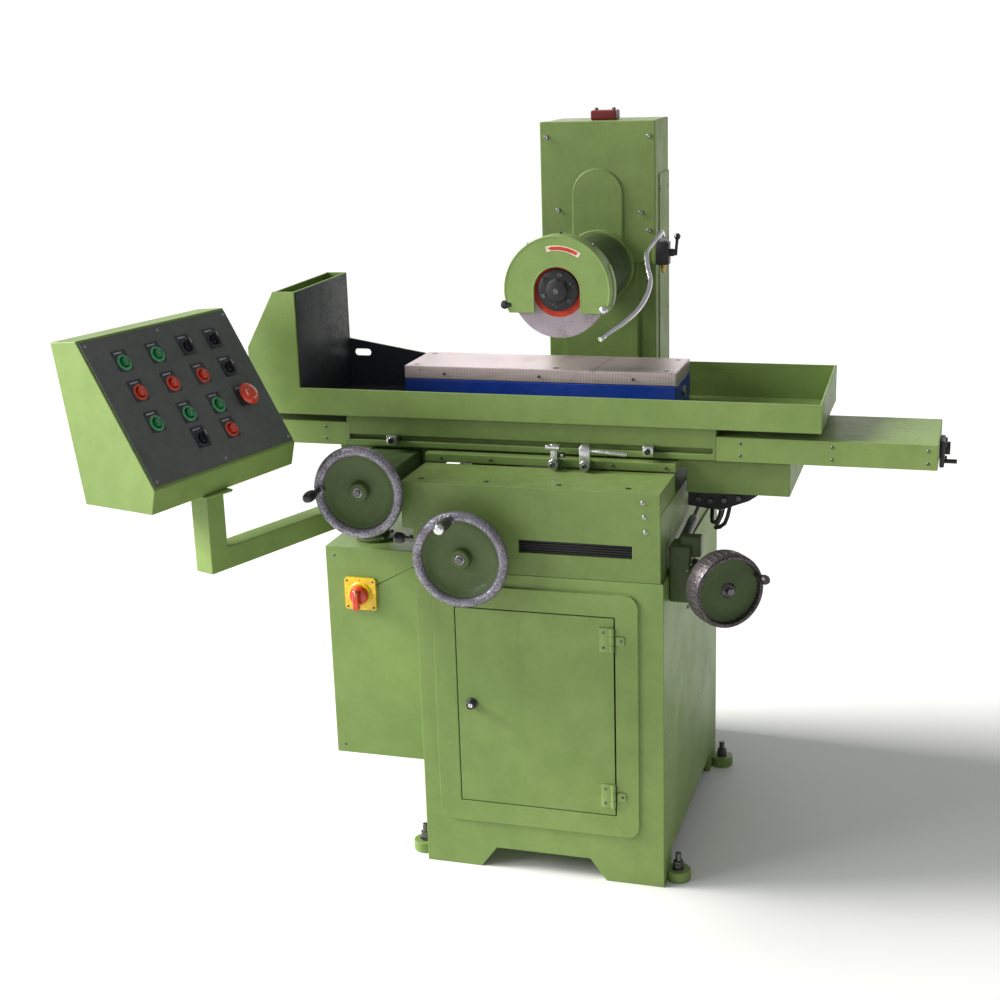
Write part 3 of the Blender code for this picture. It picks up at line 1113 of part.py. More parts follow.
def make_switch(fixed, moving):
    """Main switch: its plate on the cabinet's front, and the turning knob."""
    half = SWITCH_SIZE / 2
    y = CABINET_FRONT - GAP
    back = box("switch_plate", (SWITCH_X - half, y - 0.012, SWITCH_Z - half),
               (SWITCH_X + half, y, SWITCH_Z + half), 0.004)
    cut(back, rod("plate_hole", 0.005, (SWITCH_X, y - 0.03, SWITCH_Z), (SWITCH_X, y + 0.01, SWITCH_Z), 16))
    finish(back, YELLOW, fixed)
    front = y - 0.012 - GAP
    knob = rod("switch_knob", 0.021, (SWITCH_X, front - 0.014, SWITCH_Z), (SWITCH_X, front, SWITCH_Z), 28)
    grip = box("switch_grip", (SWITCH_X - 0.007, front - 0.028, SWITCH_Z - 0.029),
               (SWITCH_X + 0.007, front - 0.004, SWITCH_Z + 0.018), 0.003)
    shaft = rod("switch_shaft", 0.0042, (SWITCH_X, front - 0.002, SWITCH_Z),
                (SWITCH_X, CABINET_FRONT + 0.02, SWITCH_Z), 16)
    joined(knob, grip, shaft)
    return finish(knob, RED, moving)


# ------------------------------------------------------------------ pendant
def make_pendant_pivot(on):
    """Swivel post of the pendant arm on top of the cabinet."""
    floor = CABINET_TOP + GAP
    base = ARM_BOTTOM - GAP - floor
    post = turned("pendant_pivot", [(0, base + 0.058), (0.0115, base + 0.058), (0.0115, base),
                                    (0.032, base), (0.032, 0.008), (0.045, 0.006), (0.045, 0), (0, 0)],
                  (PIVOT_X, PIVOT_Y, floor), (0, 0, 1), 32)
    return finish(post, DARK_GREEN, on)


def box_bottom():
    return PENDANT_Z - 0.180


def make_pendant_arm(on):
    """Square tube arm with its upright post, welded to the swivel hub."""
    half = ARM_SIZE / 2
    turn = Matrix.Rotation(ARM_HEADING, 4, "Z")
    arm = box("pendant_arm", (0.01, -half, ARM_BOTTOM), (ARM_LENGTH + half, half, ARM_BOTTOM + ARM_SIZE))
    post = box("arm_post", (ARM_LENGTH - half, -half, ARM_BOTTOM + 0.01),
               (ARM_LENGTH + half, half, box_bottom() - GAP))
    flange = box("arm_flange", (ARM_LENGTH - 0.036, -0.036, box_bottom() - 0.006 - GAP),
                 (ARM_LENGTH + 0.036, 0.036, box_bottom() - GAP))
    for piece in (arm, post, flange):
        piece.data.transform(Matrix.Translation(piece.location))
        piece.location = (0, 0, 0)
        piece.matrix_local = Matrix.Translation((PIVOT_X, PIVOT_Y, 0)) @ turn
    hub = rod("arm_hub", 0.034, (PIVOT_X, PIVOT_Y, ARM_BOTTOM), (PIVOT_X, PIVOT_Y, ARM_BOTTOM + ARM_SIZE), 32)
    bore = rod("hub_bore", 0.0115 + GAP, (PIVOT_X, PIVOT_Y, ARM_BOTTOM - OVER),
               (PIVOT_X, PIVOT_Y, ARM_BOTTOM + ARM_SIZE + OVER), 32)
    joined(arm, post, flange, hub)
    cut(arm, bore)
    return finish(arm, GREEN, on)


def pendant_section(shrink):
    """Side outline of the control box: (out towards the operator, up) points."""
    half = PANEL_HEIGHT / 2 + 0.006
    face_low = Vector((math.sin(PENDANT_TILT), -math.cos(PENDANT_TILT))) * half
    face_top = -face_low
    corners = [face_top, Vector((-0.148, face_top.y - 0.006)), Vector((-0.098, -0.180)),
               Vector((0.072, -0.180)), face_low]
    middle = sum(corners, Vector((0, 0))) / len(corners)
    return [middle + (c - middle) * (1 - shrink) for c in corners]


def make_pendant_box(on):
    """Folded control box with a sloping front; local x along it, y away, z up."""
    turn = Matrix.Rotation(math.radians(-90), 4, "Z") @ UPRIGHT
    outline = [(c.x, c.y) for c in pendant_section(0)]
    shell = plate("pendant_box", outline, BOX_WIDTH, turn, (0, 0, 0))
    inner = plate("box_room", [(c.x, c.y) for c in pendant_section(0.05)], BOX_WIDTH - 2 * BOX_SHELL,
                  turn, (0, 0, 0))
    margin = 0.014
    opening = box("box_opening", (-PANEL_WIDTH / 2 + margin, -PANEL_HEIGHT / 2 + margin, -0.05),
                  (PANEL_WIDTH / 2 - margin, PANEL_HEIGHT / 2 - margin, 0.02))
    opening.matrix_local = panel_turn() @ opening.matrix_local
    cut(shell, inner, opening)
    return finish(shell, GREEN, on, local=True)


def panel_turn():
    """From the panel's own frame (u, v, out) to the pendant's frame."""
    return Matrix.Rotation(math.radians(90) - PENDANT_TILT, 4, "X")


def control_kinds():
    """Each control's name, kind, column and row on the panel."""
    return [
        ("button_wheel_start", "green", 0, 0), ("button_pump_start", "green", 1, 0),
        ("selector_feed", "selector", 2, 0), ("selector_table", "selector", 3, 0),
        ("button_wheel_stop", "red", 0, 1), ("button_pump_stop", "red", 1, 1),
        ("button_coolant_stop", "red", 2, 1), ("selector_coolant", "selector", 3, 1),
        ("button_lift_up", "green", 0, 2), ("button_lift_down", "green", 1, 2),
        ("button_coolant_start", "green", 2, 2), ("emergency_stop", "mushroom", 3, 2),
        ("selector_magnet", "selector", 1, 3), ("button_magnet_off", "cap", 2, 3)]


def make_panel(on):
    """Control panel plate with a raised bezel round each control."""
    panel = box("control_panel", (-PANEL_WIDTH / 2, -PANEL_HEIGHT / 2, GAP),
                (PANEL_WIDTH / 2, PANEL_HEIGHT / 2, GAP + PANEL_SHEET))
    top = GAP + PANEL_SHEET
    holes = []
    for name, _, column, row in control_kinds():
        u, v = CONTROL_COLUMNS[column], CONTROL_ROWS[row]
        joined(panel, rod("bezel", BEZEL_RADIUS, (u, v, top - 0.001), (u, v, top + BEZEL_HEIGHT), 16))
        holes.append(rod("control_hole", STEM_RADIUS + STEM_CLEARANCE, (u, v, -0.01),
                         (u, v, top + BEZEL_HEIGHT + 0.01), 16))
    cut(panel, *holes)
    return finish(panel, GREY, on, local=True)


def make_control(name, kind, on):
    """One push button, mushroom head or selector knob; local +Z points out."""
    rest = GAP + PANEL_SHEET + BEZEL_HEIGHT
    if kind in ("green", "red"):
        proud = 0.0055
        profile = [(0, proud), (0.0075, proud), (0.0090, proud - 0.0015), (0.0090, -0.016), (0, -0.016)]
    elif kind in ("mushroom", "cap"):
        head = 0.0235 if kind == "mushroom" else 0.0165
        profile = [(0, 0.022), (head * 0.6, 0.0205), (head, 0.016), (head, 0.0105), (head * 0.8, 0.0085),
                   (0.009, 0.0075), (0.0085, -0.016), (0, -0.016)]
    else:
        profile = [(0, 0.004), (0.0090, 0.004), (0.0090, -0.016), (0, -0.016)]
    control = turned(name, profile, (0, 0, rest), (0, 0, 1), 16)
    if kind == "selector":
        joined(control, box("selector_wing", (-0.0035, -0.0125, rest + 0.002), (0.0035, 0.0125, rest + 0.013)))
    looks = {"green": SIGNAL_GREEN, "red": RED, "mushroom": RED, "cap": RED, "selector": BLACK}
    return finish(control, looks[kind], on, local=True)


# ----------------------------------------------------------------- assembly
def build():
    """Make every piece on its body, then bring the origin under the machine."""
    machine = body("machine")
    make_pedestal(machine)
    make_hydraulic_unit(machine)
    make_bed(machine)
    make_column(machine)
    make_column_cap(machine)
    make_lift_screw(body("lift_screw", machine, (COLUMN_MIDDLE, LIFT_Y, SEAT_TOP)))
    make_cabinet(machine)
    make_pendant_pivot(machine)
    make_elevating_gearbox(machine)

    door = body("door", machine, (DOOR_X1 - 0.006, -FRAME_RAISE - 0.002, (DOOR_Z0 + DOOR_Z1) / 2))
    make_door(door)
    make_door_latch(body("door_latch", door, (DOOR_X0 + LATCH_INSET, -FRAME_RAISE, latch_z())))
    cabinet_x = -GAP - CABINET_WIDTH
    hinge_y = CABINET_BACK - CABINET_DOOR_MARGIN - DOOR_GAP
    make_cabinet_door(body("cabinet_door", machine, (cabinet_x, hinge_y, CABINET_TOP / 2)))
    make_switch(machine, body("switch_knob", machine, (SWITCH_X, CABINET_FRONT, SWITCH_Z)))

    operator_turn = Matrix.Rotation(math.radians(90), 4, "X")
    cross = body("handwheel_cross", machine, (CROSS_X, -0.062, CROSS_Z), operator_turn)
    make_handwheel("handwheel_cross", HANDWHEEL_RADIUS, 0.062 - GAP, math.radians(100), 0.078, cross)
    make_cross_screw(cross)

    saddle = body("saddle", machine, (COLUMN_MIDDLE, SADDLE_BACK, SADDLE_TOP))
    make_saddle(saddle)
    make_traverse_gearbox(saddle)
    make_cylinder(saddle)
    make_valve(saddle)
    for name in HOSE_ROUTES:
        make_hose(name, 0.0042, saddle)
    wheel_y = TRAVERSE_FACE - 0.008 - 0.052
    traverse = body("handwheel_table", saddle, (TRAVERSE_X, wheel_y, TRAVERSE_Z), operator_turn)
    make_handwheel("handwheel_table", HANDWHEEL_RADIUS * 0.96, 0.052 - GAP, math.radians(178), 0.070, traverse)
    make_reverse_lever(body("reverse_lever", saddle, REVERSE_AT))
    make_stop_lever(body("stop_lever", saddle, STOP_AT))
    make_clamp_lever(body("clamp_lever", machine, CLAMP_AT))

    table = body("table", saddle, ((TABLE_X0 + TABLE_X1) / 2, TABLE_BACK, TABLE_TOP))
    make_table(table)
    make_tray(table)
    make_chuck(table)
    make_cover("way_cover_left", TABLE_X0, -1, table)
    make_cover("way_cover_right", TABLE_X1, 1, table)
    make_piston_rod(table)
    for name, x in (("dog_left", TABLE_X0 + 0.108), ("dog_right", TABLE_X1 - 0.134)):
        make_dog(name, x, body(name, table, (x, TABLE_FRONT, GROOVE_Z)))

    head = body("head", machine, (COLUMN_MIDDLE, SLIDE_FRONT, SLIDE_BOTTOM))
    make_head_slide(head)
    make_spindle_motor(head)
    make_spindle_housing(head)
    make_wheel_guard(head)
    make_coolant_pipe(body("coolant_pipe", head, coolant_points()[0]))
    spindle = body("spindle", head, (COLUMN_MIDDLE, WHEEL_Y, SPINDLE_Z))
    make_spindle(spindle)
    make_grinding_wheel(spindle)

    towards = elevate_axis().to_track_quat("Z", "Y").to_matrix().to_4x4()
    make_elevating_wheel(body("handwheel_elevate", machine, ELEVATE_HUB, towards))

    arm = body("pendant_arm", machine, (PIVOT_X, PIVOT_Y, ARM_BOTTOM))
    make_pendant_arm(arm)
    pendant = body("pendant", arm, (PENDANT_X, PENDANT_Y, PENDANT_Z),
                   Matrix.Rotation(PENDANT_HEADING, 4, "Z"))
    make_pendant_box(pendant)
    panel_at = FRAME_OF[pendant] @ panel_turn()
    panel = body("panel", pendant, panel_at.translation, panel_at.to_3x3().to_4x4())
    make_panel(panel)
    for name, kind, column, row in control_kinds():
        place = panel_at @ Vector((CONTROL_COLUMNS[column], CONTROL_ROWS[row], 0))
        make_control(name, kind, body(name, panel, place, panel_at.to_3x3().to_4x4()))
    centre_on_floor(machine)


def centre_on_floor(machine):
    """Shift the machine so that the origin is at the middle of its footprint."""
    bpy.context.view_layer.update()
    graph = bpy.context.evaluated_depsgraph_get()
    low = Vector((math.inf, math.inf, math.inf))
    high = -low
    for thing in PARTS.objects:
        if thing.type == "EMPTY" or thing.name in HOSE_ROUTES:
            continue
        seen = thing.evaluated_get(graph)
        shape = seen.to_mesh()
        for vertex in shape.vertices:
            place = seen.matrix_world @ vertex.co
            low = Vector(map(min, low, place))
            high = Vector(map(max, high, place))
        seen.to_mesh_clear()
    middle = (low + high) / 2
    machine.location = (-middle.x, -middle.y, -low.z)
    bpy.context.view_layer.update()


build()
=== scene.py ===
"""Looks of a hydraulic surface grinder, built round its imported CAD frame.

Sizes below are in metres in the machine frame: x = 0 at the bed's left side, y = 0 at
its front face and z = 0 on the floor, +X to the right, +Y to the back. Datum turns them
into the frame's own axes.
"""
import json
import logging
import math
from dataclasses import dataclass
from enum import Enum
from typing import Iterable, Sequence

import bmesh
import bpy
from mathutils import Matrix, Vector
from mathutils.geometry import tessellate_polygon


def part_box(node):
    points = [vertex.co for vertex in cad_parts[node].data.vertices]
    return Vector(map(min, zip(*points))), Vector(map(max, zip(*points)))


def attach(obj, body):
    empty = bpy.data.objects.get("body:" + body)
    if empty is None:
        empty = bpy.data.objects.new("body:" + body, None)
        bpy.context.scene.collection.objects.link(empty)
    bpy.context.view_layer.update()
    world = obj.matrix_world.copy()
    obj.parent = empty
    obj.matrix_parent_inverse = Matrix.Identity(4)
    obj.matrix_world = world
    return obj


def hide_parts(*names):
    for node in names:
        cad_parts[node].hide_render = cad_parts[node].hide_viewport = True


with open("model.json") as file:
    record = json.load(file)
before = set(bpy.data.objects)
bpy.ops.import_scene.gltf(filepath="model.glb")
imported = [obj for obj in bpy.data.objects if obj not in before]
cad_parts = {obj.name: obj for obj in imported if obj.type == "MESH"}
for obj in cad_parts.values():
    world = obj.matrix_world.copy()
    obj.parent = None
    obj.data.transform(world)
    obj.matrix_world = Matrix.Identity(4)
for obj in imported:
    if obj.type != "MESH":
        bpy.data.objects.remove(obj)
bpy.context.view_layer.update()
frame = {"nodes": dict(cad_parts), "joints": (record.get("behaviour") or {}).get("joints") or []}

LOG = logging.getLogger("grinder")
Point = Sequence[float]
Colour = tuple[float, float, float]
ACROSS = Matrix.Rotation(math.radians(90), 4, "X")      # u, v along +X, +Z; out along -Y


def srgb(red: int, green: int, blue: int) -> Colour:
    """A colour on the usual 0 to 255 scale as linear light.

    Args:
        red, green, blue: the three channels.
    Returns:
        The linear colour.
    """
    return tuple((c / 255 / 12.92) if c <= 10 else ((c / 255 + 0.055) / 1.055) ** 2.4
                 for c in (red, green, blue))


# ------------------------------------------------------------------ shader maths
class Value:
    """A shader socket that takes part in Python expressions."""

    def __init__(self, graph: "Graph", socket: bpy.types.NodeSocket) -> None:
        """Keep the socket and the graph that it belongs to."""
        self.graph, self.socket = graph, socket

    def _math(self, operation: str, *terms: "Value | float") -> "Value":
        """One Math node on these terms."""
        made = self.graph.node("ShaderNodeMath", {"operation": operation}, dict(enumerate(terms)))
        return Value(self.graph, made.outputs[0])

    def __add__(self, other: "Value | float") -> "Value":
        """Sum."""
        return self._math("ADD", self, other)

    __radd__ = __add__

    def __sub__(self, other: "Value | float") -> "Value":
        """Difference."""
        return self._math("SUBTRACT", self, other)

    def __rsub__(self, other: float) -> "Value":
        """Difference from a number."""
        return self._math("SUBTRACT", other, self)

    def __mul__(self, other: "Value | float") -> "Value":
        """Product."""
        return self._math("MULTIPLY", self, other)

    __rmul__ = __mul__

    def fraction(self) -> "Value":
        """What is left over the whole number."""
        return self._math("FRACT", self)

    def ramp(self, low: float, high: float) -> "Value":
        """A smooth step.

        Args:
            low, high: where the step starts and ends; low may be the larger.
        Returns:
            0 before low, 1 after high.
        """
        made = self.graph.node("ShaderNodeMapRange", {"interpolation_type": "SMOOTHSTEP"},
                               {0: self, 1: low, 2: high})
        return Value(self.graph, made.outputs[0])


class Graph:
    """The node tree of one material."""

    def __init__(self, name: str) -> None:
        """Start a material that holds only its output and its shader."""
        self.material = bpy.data.materials.new(name)
        self.material.use_nodes = True
        self.tree = self.material.node_tree
        self.shader = self.tree.nodes["Principled BSDF"]

    def node(self, kind: str, settings: dict | None = None,
             inputs: dict | None = None) -> bpy.types.Node:
        """Any node.

        Args:
            kind: the node's type.
            settings: its own options, with "stops" for a ramp's (place, colour) pairs.
            inputs: values or links for its sockets, by name or number.
        Returns:
            The node.
        """
        made = self.tree.nodes.new(kind)
        for name, value in (settings or {}).items():
            if name == "stops":
                ramp = made.color_ramp
                while len(ramp.elements) < len(value):
                    ramp.elements.new(0.5)
                for element, (at, colour) in zip(ramp.elements, value):
                    element.position, element.color = at, (*colour, 1.0)
            else:
                setattr(made, name, value)
        for key, value in (inputs or {}).items():
            socket = made.inputs[key]
            if isinstance(value, Value):
                self.tree.links.new(value.socket, socket)
            elif socket.type == "RGBA":
                socket.default_value = (*value, 1.0)
            else:
                socket.default_value = value
        return made

    def place(self, stretch: Point = (1, 1, 1)) -> Value:
        """The point on the piece, its axes scaled by stretch."""
        here = Value(self, self.node("ShaderNodeTexCoord").outputs["Object"])
        made = self.node("ShaderNodeVectorMath", {"operation": "MULTIPLY"}, {0: here, 1: tuple(stretch)})
        return Value(self, made.outputs[0])

    def axis(self, index: int) -> Value:
        """One coordinate of the point on the piece, in metres."""
        made = self.node("ShaderNodeSeparateXYZ", None, {0: self.place()})
        return Value(self, made.outputs[index])

    def radius(self) -> Value:
        """Distance from the piece's own Z axis, in metres."""
        made = self.node("ShaderNodeVectorMath", {"operation": "LENGTH"}, {0: self.place((1, 1, 0))})
        return Value(self, made.outputs["Value"])

    def noise(self, scale: float, detail: float = 3, stretch: Point = (1, 1, 1)) -> Value:
        """Smooth noise round 0.5.

        Args:
            scale: grains in a metre.
            detail: how many finer layers there are.
            stretch: how each axis is scaled first.
        Returns:
            The noise.
        """
        made = self.node("ShaderNodeTexNoise", None,
                         {"Vector": self.place(stretch), "Scale": scale, "Detail": detail})
        return Value(self, made.outputs[0])

    def cells(self, scale: float) -> Value:
        """Distance to the nearest of scattered points, for grains and pits."""
        made = self.node("ShaderNodeTexVoronoi", None, {"Vector": self.place(), "Scale": scale})
        return Value(self, made.outputs["Distance"])

    def mix(self, share: "Value | float", first: "Value | Colour", second: "Value | Colour") -> Value:
        """A blend of two colours.

        Args:
            share: how much of the second.
            first, second: colours, or values that hold one.
        Returns:
            The blend.
        """
        made = self.node("ShaderNodeMix", {"data_type": "RGBA"}, {0: share, 6: first, 7: second})
        return Value(self, made.outputs[2])

    def edges(self, reach: float) -> Value:
        """How near the point is to a convex or concave edge, from 0."""
        soft = self.node("ShaderNodeBevel", {"samples": 4}, {"Radius": reach})
        flat = self.node("ShaderNodeNewGeometry")
        made = self.node("ShaderNodeVectorMath", {"operation": "DOT_PRODUCT"},
                         {0: Value(self, soft.outputs[0]), 1: Value(self, flat.outputs["Normal"])})
        return 1.0 - Value(self, made.outputs["Value"])

    def facing_up(self) -> Value:
        """How far the surface faces up, from -1 to 1."""
        flat = self.node("ShaderNodeNewGeometry")
        made = self.node("ShaderNodeSeparateXYZ", None, {0: Value(self, flat.outputs["Normal"])})
        return Value(self, made.outputs[2])

    def bump(self, height: Value, depth: float, strength: float, ease: float) -> Value:
        """A bumped normal.

        Args:
            height: the relief, from 0 to 1.
            depth: what 1 is in metres.
            strength: how much of it shows.
            ease: the radius that sharp edges look rounded to.
        Returns:
            The normal.
        """
        soft = self.node("ShaderNodeBevel", {"samples": 4}, {"Radius": ease})
        made = self.node("ShaderNodeBump", None, {"Height": height, "Distance": depth, "Strength": strength,
                                                  "Normal": Value(self, soft.outputs[0])})
        return Value(self, made.outputs[0])

    def wear(self, sockets: dict) -> bpy.types.Material:
        """Set or link the shader's sockets and hand over the material."""
        for name, value in sockets.items():
            socket = self.shader.inputs[name]
            if isinstance(value, Value):
                self.tree.links.new(value.socket, socket)
            else:
                socket.default_value = (*value, 1.0) if socket.type == "RGBA" else value
        return self.material


# ---------------------------------------------------------------------- finishes
class Lay(Enum):
    """Which way a machined surface's marks run, as a stretch of its axes."""

    ALONG_X = (0.02, 1.0, 1.0)
    NONE = (1.0, 1.0, 1.0)


@dataclass(frozen=True)
class Enamel:
    """Machine enamel on sheet or casting, with grime, rubbed edges, orange peel and a painted highlight
    along its edges.
    """

    name: str
    colour: Colour
    roughness: float = 0.36
    cast: float = 0.0
    grime: float = 0.5

    def material(self) -> bpy.types.Material:
        """The enamel as a material."""
        g = Graph(self.name)
        dark = tuple(c * k for c, k in zip(self.colour, (0.78, 0.82, 0.80)))
        pale = tuple(c * k for c, k in zip(self.colour, (1.10, 1.08, 1.16)))
        tone = g.noise(3.1, 4)
        patch = g.noise(26, 5)
        colour = g.mix((tone * 0.7 + patch * 0.3).ramp(0.30, 0.72), dark, pale)
        streak = g.noise(22, 5, (1, 1, 0.09)).ramp(0.50, 0.78)
        dust = g.facing_up().ramp(0.2, 0.9) * g.noise(60, 4).ramp(0.35, 0.75)
        film = (g.noise(140, 6) * g.noise(9, 3)).ramp(0.16, 0.42)
        colour = g.mix(streak * (0.16 * self.grime), colour, tuple(c * 0.35 for c in self.colour))
        colour = g.mix(film * (0.22 * self.grime), colour, tuple(c * 0.45 for c in self.colour))
        colour = g.mix(dust * 0.10, colour, (0.36, 0.35, 0.29))
        near = g.edges(0.0022)
        rub = (near + g.noise(210, 5) * 0.5).ramp(0.44, 0.62) * near.ramp(0.04, 0.12)
        # painted highlight: the paint is made paler along convex and concave edges, standing in for light
        # caught on them
        colour = g.mix(near.ramp(0.02, 0.25) * 0.30, colour, tuple(min(1.0,
                c * 1.5 + 0.02) for c in self.colour))
        colour = g.mix(rub * 0.75, colour, (0.16, 0.15, 0.13))
        speck = (1.0 - g.cells(75).ramp(0.03, 0.075)) * g.noise(5, 2).ramp(0.52, 0.66)
        colour = g.mix(speck * 0.8, colour, (0.09, 0.10, 0.06))
        peel = g.noise(520, 2) * 0.22 + g.noise(70, 4) * (0.3 + self.cast) + g.noise(14, 3) * self.cast
        return g.wear({"Base Color": colour,
                       "Roughness": patch * 0.16 + film * 0.22 + rub * 0.2 + (self.roughness - 0.08),
                       "Metallic": rub * 0.6, "Specular IOR Level": 0.38,
                       "Coat Weight": 0.06, "Coat Roughness": 0.2,
                       "Normal": g.bump(peel - rub * 0.5, 0.0007 + 0.0012 * self.cast, 0.55, 0.0016)})


@dataclass(frozen=True)
class Metal:
    """Machined, turned or plated metal with marks that run one way, and a painted highlight along its
    edges.
    """

    name: str
    colour: Colour
    roughness: float = 0.30
    lay: Lay = Lay.NONE
    stain: float = 0.4
    metallic: float = 1.0

    def material(self) -> bpy.types.Material:
        """The metal as a material."""
        g = Graph(self.name)
        marks = g.noise(900, 3, self.lay.value)
        spots = g.noise(34, 6)
        oil = (g.noise(120, 5) * g.noise(11, 3)).ramp(0.18, 0.40)
        colour = g.mix(marks.ramp(0.32, 0.70), tuple(c * 0.80 for c in self.colour), self.colour)
        colour = g.mix(spots.ramp(0.50, 0.72) * (self.stain * 0.6), colour,
                       tuple(c * k for c, k in zip(self.colour, (0.42, 0.38, 0.34))))
        colour = g.mix(oil * (self.stain * 0.5), colour, tuple(c * 0.30 for c in self.colour))
        # painted highlight: the colour is made paler along convex and concave edges, standing in for light
        # caught on them
        near = g.edges(0.0012).ramp(0.03, 0.3)
        colour = g.mix(near * 0.35, colour, tuple(min(1.0, c * 1.35) for c in self.colour))
        return g.wear({"Base Color": colour, "Metallic": self.metallic,
                       "Roughness": marks * 0.14 + oil * 0.18 + spots * 0.10 + (self.roughness - 0.12),
                       "Normal": g.bump(marks * 0.7 + spots * 0.3, 0.00008, 0.4, 0.0005)})


@dataclass(frozen=True)
class Mottled:
    """Cast rim worn bright by hands, with dark casting spots left in it."""

    name: str
    bright: Colour
    dull: Colour

    def material(self) -> bpy.types.Material:
        """The worn rim as a material."""
        g = Graph(self.name)
        spots = g.noise(260, 6)
        broad = g.noise(30, 4)
        turned = (g.radius() * 1600.0).fraction()
        share = (spots * 0.75 + broad * 0.35).ramp(0.42, 0.66)
        colour = g.mix(share, self.bright, self.dull)
        colour = g.mix(turned * 0.12, colour, tuple(c * 0.55 for c in self.bright))
        return g.wear({"Base Color": colour, "Metallic": share * -0.45 + 0.9,
                       "Roughness": share * 0.30 + 0.28,
                       "Normal": g.bump(1.0 - share * 0.8 + turned * 0.05, 0.0005, 0.6, 0.0005)})


@dataclass(frozen=True)
class PoleFace:
    """Ground top of a magnetic chuck: steel poles with thin brass strips between them."""

    name: str
    pitch: float = 0.0062
    strip: float = 0.26

    def material(self) -> bpy.types.Material:
        """The pole face as a material."""
        g = Graph(self.name)
        across = (g.axis(0) * (1.0 / self.pitch)).fraction()
        brass = (across - 0.5).ramp(0.5 - self.strip, 0.5 - self.strip + 0.03)
        ground = g.noise(1400, 3, (0.015, 1, 1))
        patch = g.noise(13, 5)
        colour = g.mix(brass * 0.7, srgb(196, 180, 184), srgb(168, 130, 104))
        colour = g.mix(ground.ramp(0.35, 0.7) * 0.5, colour, srgb(226, 214, 216))
        colour = g.mix(patch.ramp(0.5, 0.75) * 0.35, colour, srgb(118, 98, 88))
        scratch = g.noise(60, 2, (1, 0.05, 1)).ramp(0.66, 0.70)
        colour = g.mix(scratch * 0.35, colour, srgb(92, 84, 82))
        return g.wear({"Base Color": colour, "Metallic": 0.75,
                       "Roughness": ground * 0.16 + patch * 0.16 + 0.24,
                       "Normal": g.bump(ground * 0.6 + brass * 0.4 - scratch * 0.5, 0.0002, 0.5, 0.0006)})


@dataclass(frozen=True)
class Grit:
    """Bonded abrasive: pale grains in a dusty bond."""

    name: str
    colour: Colour

    def material(self) -> bpy.types.Material:
        """The abrasive as a material."""
        g = Graph(self.name)
        grain = g.cells(1500)
        cloud = g.noise(40, 4)
        colour = g.mix(grain.ramp(0.05, 0.6), tuple(min(1.0, c * 1.18) for c in self.colour),
                       tuple(c * 0.72 for c in self.colour))
        colour = g.mix(cloud.ramp(0.45, 0.75) * 0.35, colour, tuple(c * 0.6 for c in self.colour))
        swarf = (g.noise(300, 4) * g.noise(20, 2)).ramp(0.30, 0.42)
        colour = g.mix(swarf * 0.5, colour, (0.06, 0.055, 0.05))
        return g.wear({"Base Color": colour, "Roughness": grain * 0.1 + 0.82,
                       "Normal": g.bump(grain + cloud * 0.3, 0.0007, 0.9, 0.0004)})


@dataclass(frozen=True)
class Moulded:
    """Moulded plastic, paper or rubber, with a fine skin, dust, handling marks and a painted highlight
    along its edges.
    """

    name: str
    colour: Colour
    roughness: float = 0.35
    skin: float = 0.2
    coat: float = 0.0

    def material(self) -> bpy.types.Material:
        """The moulding as a material."""
        g = Graph(self.name)
        fine = g.noise(1300, 3)
        smear = g.noise(70, 5)
        dust = g.facing_up().ramp(0.1, 1.0) * g.noise(240, 4).ramp(0.4, 0.75)
        colour = g.mix(smear.ramp(0.35, 0.7), tuple(c * 0.82 for c in self.colour),
                       tuple(min(1.0, c * 1.12 + 0.002) for c in self.colour))
        colour = g.mix(dust * 0.12, colour, (0.42, 0.40, 0.36))
        # painted highlight: the colour is made paler along convex and concave edges, standing in for light
        # caught on them
        near = g.edges(0.0008).ramp(0.05, 0.35)
        colour = g.mix(near * 0.25, colour, tuple(min(1.0, c * 1.6 + 0.02) for c in self.colour))
        return g.wear({"Base Color": colour,
                "Roughness": smear * 0.16 + dust * 0.2 + (self.roughness - 0.06),
                       "Coat Weight": self.coat, "Coat Roughness": 0.1,
                       "Normal": g.bump(fine * self.skin + smear * 0.2, 0.0003, 0.6, 0.0004)})


Finish = Enamel | Metal | Mottled | PoleFace | Grit | Moulded

GREEN = Enamel("enamel_sheet_green", srgb(122, 146, 76), 0.46)
CAST_GREEN = Enamel("enamel_cast_green", srgb(110, 132, 68), 0.48, cast=0.5)
PALE_GREEN = Enamel("enamel_pale_green", srgb(130, 155, 84), 0.44)
# painted shade: the machine green darkened for parts that sit in shade, under the table, on the machine's
# right and behind the wheel guard
SHADE_DARKENED_GREEN = Enamel("enamel_green_darkened_for_painted_shade", srgb(60, 80, 34), 0.48, cast=0.4)
WHEEL_GREEN = Enamel("enamel_wheel_green", srgb(74, 92, 46), 0.46, cast=0.4)
# dark charcoal: sheets on the splash guard's inner wall, and painted shade on the tray's left rear wall and
# floor
CHARCOAL_SHEETS_AND_SHADE = Enamel("charcoal_sheets_and_painted_shade", srgb(52, 54, 60), 0.55, grime=0.8)
BLUE = Enamel("enamel_blue", srgb(16, 54, 150), 0.30, grime=0.4)
DARK_RED = Enamel("enamel_dark_red", srgb(112, 28, 30), 0.40)
GREY_PANEL = Enamel("panel_grey", srgb(84, 88, 84), 0.46, grime=0.3)
SATIN_BLACK = Enamel("satin_black", srgb(34, 34, 38), 0.42, cast=0.3)
STEEL = Metal("ground_steel", srgb(176, 176, 180), 0.32, Lay.ALONG_X)
TURNED_STEEL = Metal("turned_steel", srgb(168, 168, 172), 0.30)
OILY_STEEL = Metal("oily_steel", srgb(112, 110, 112), 0.38, stain=0.9)
CHROME = Metal("bright_chrome", srgb(232, 232, 236), 0.16, stain=0.15)
BRASS = Metal("brass", srgb(190, 152, 84), 0.34)
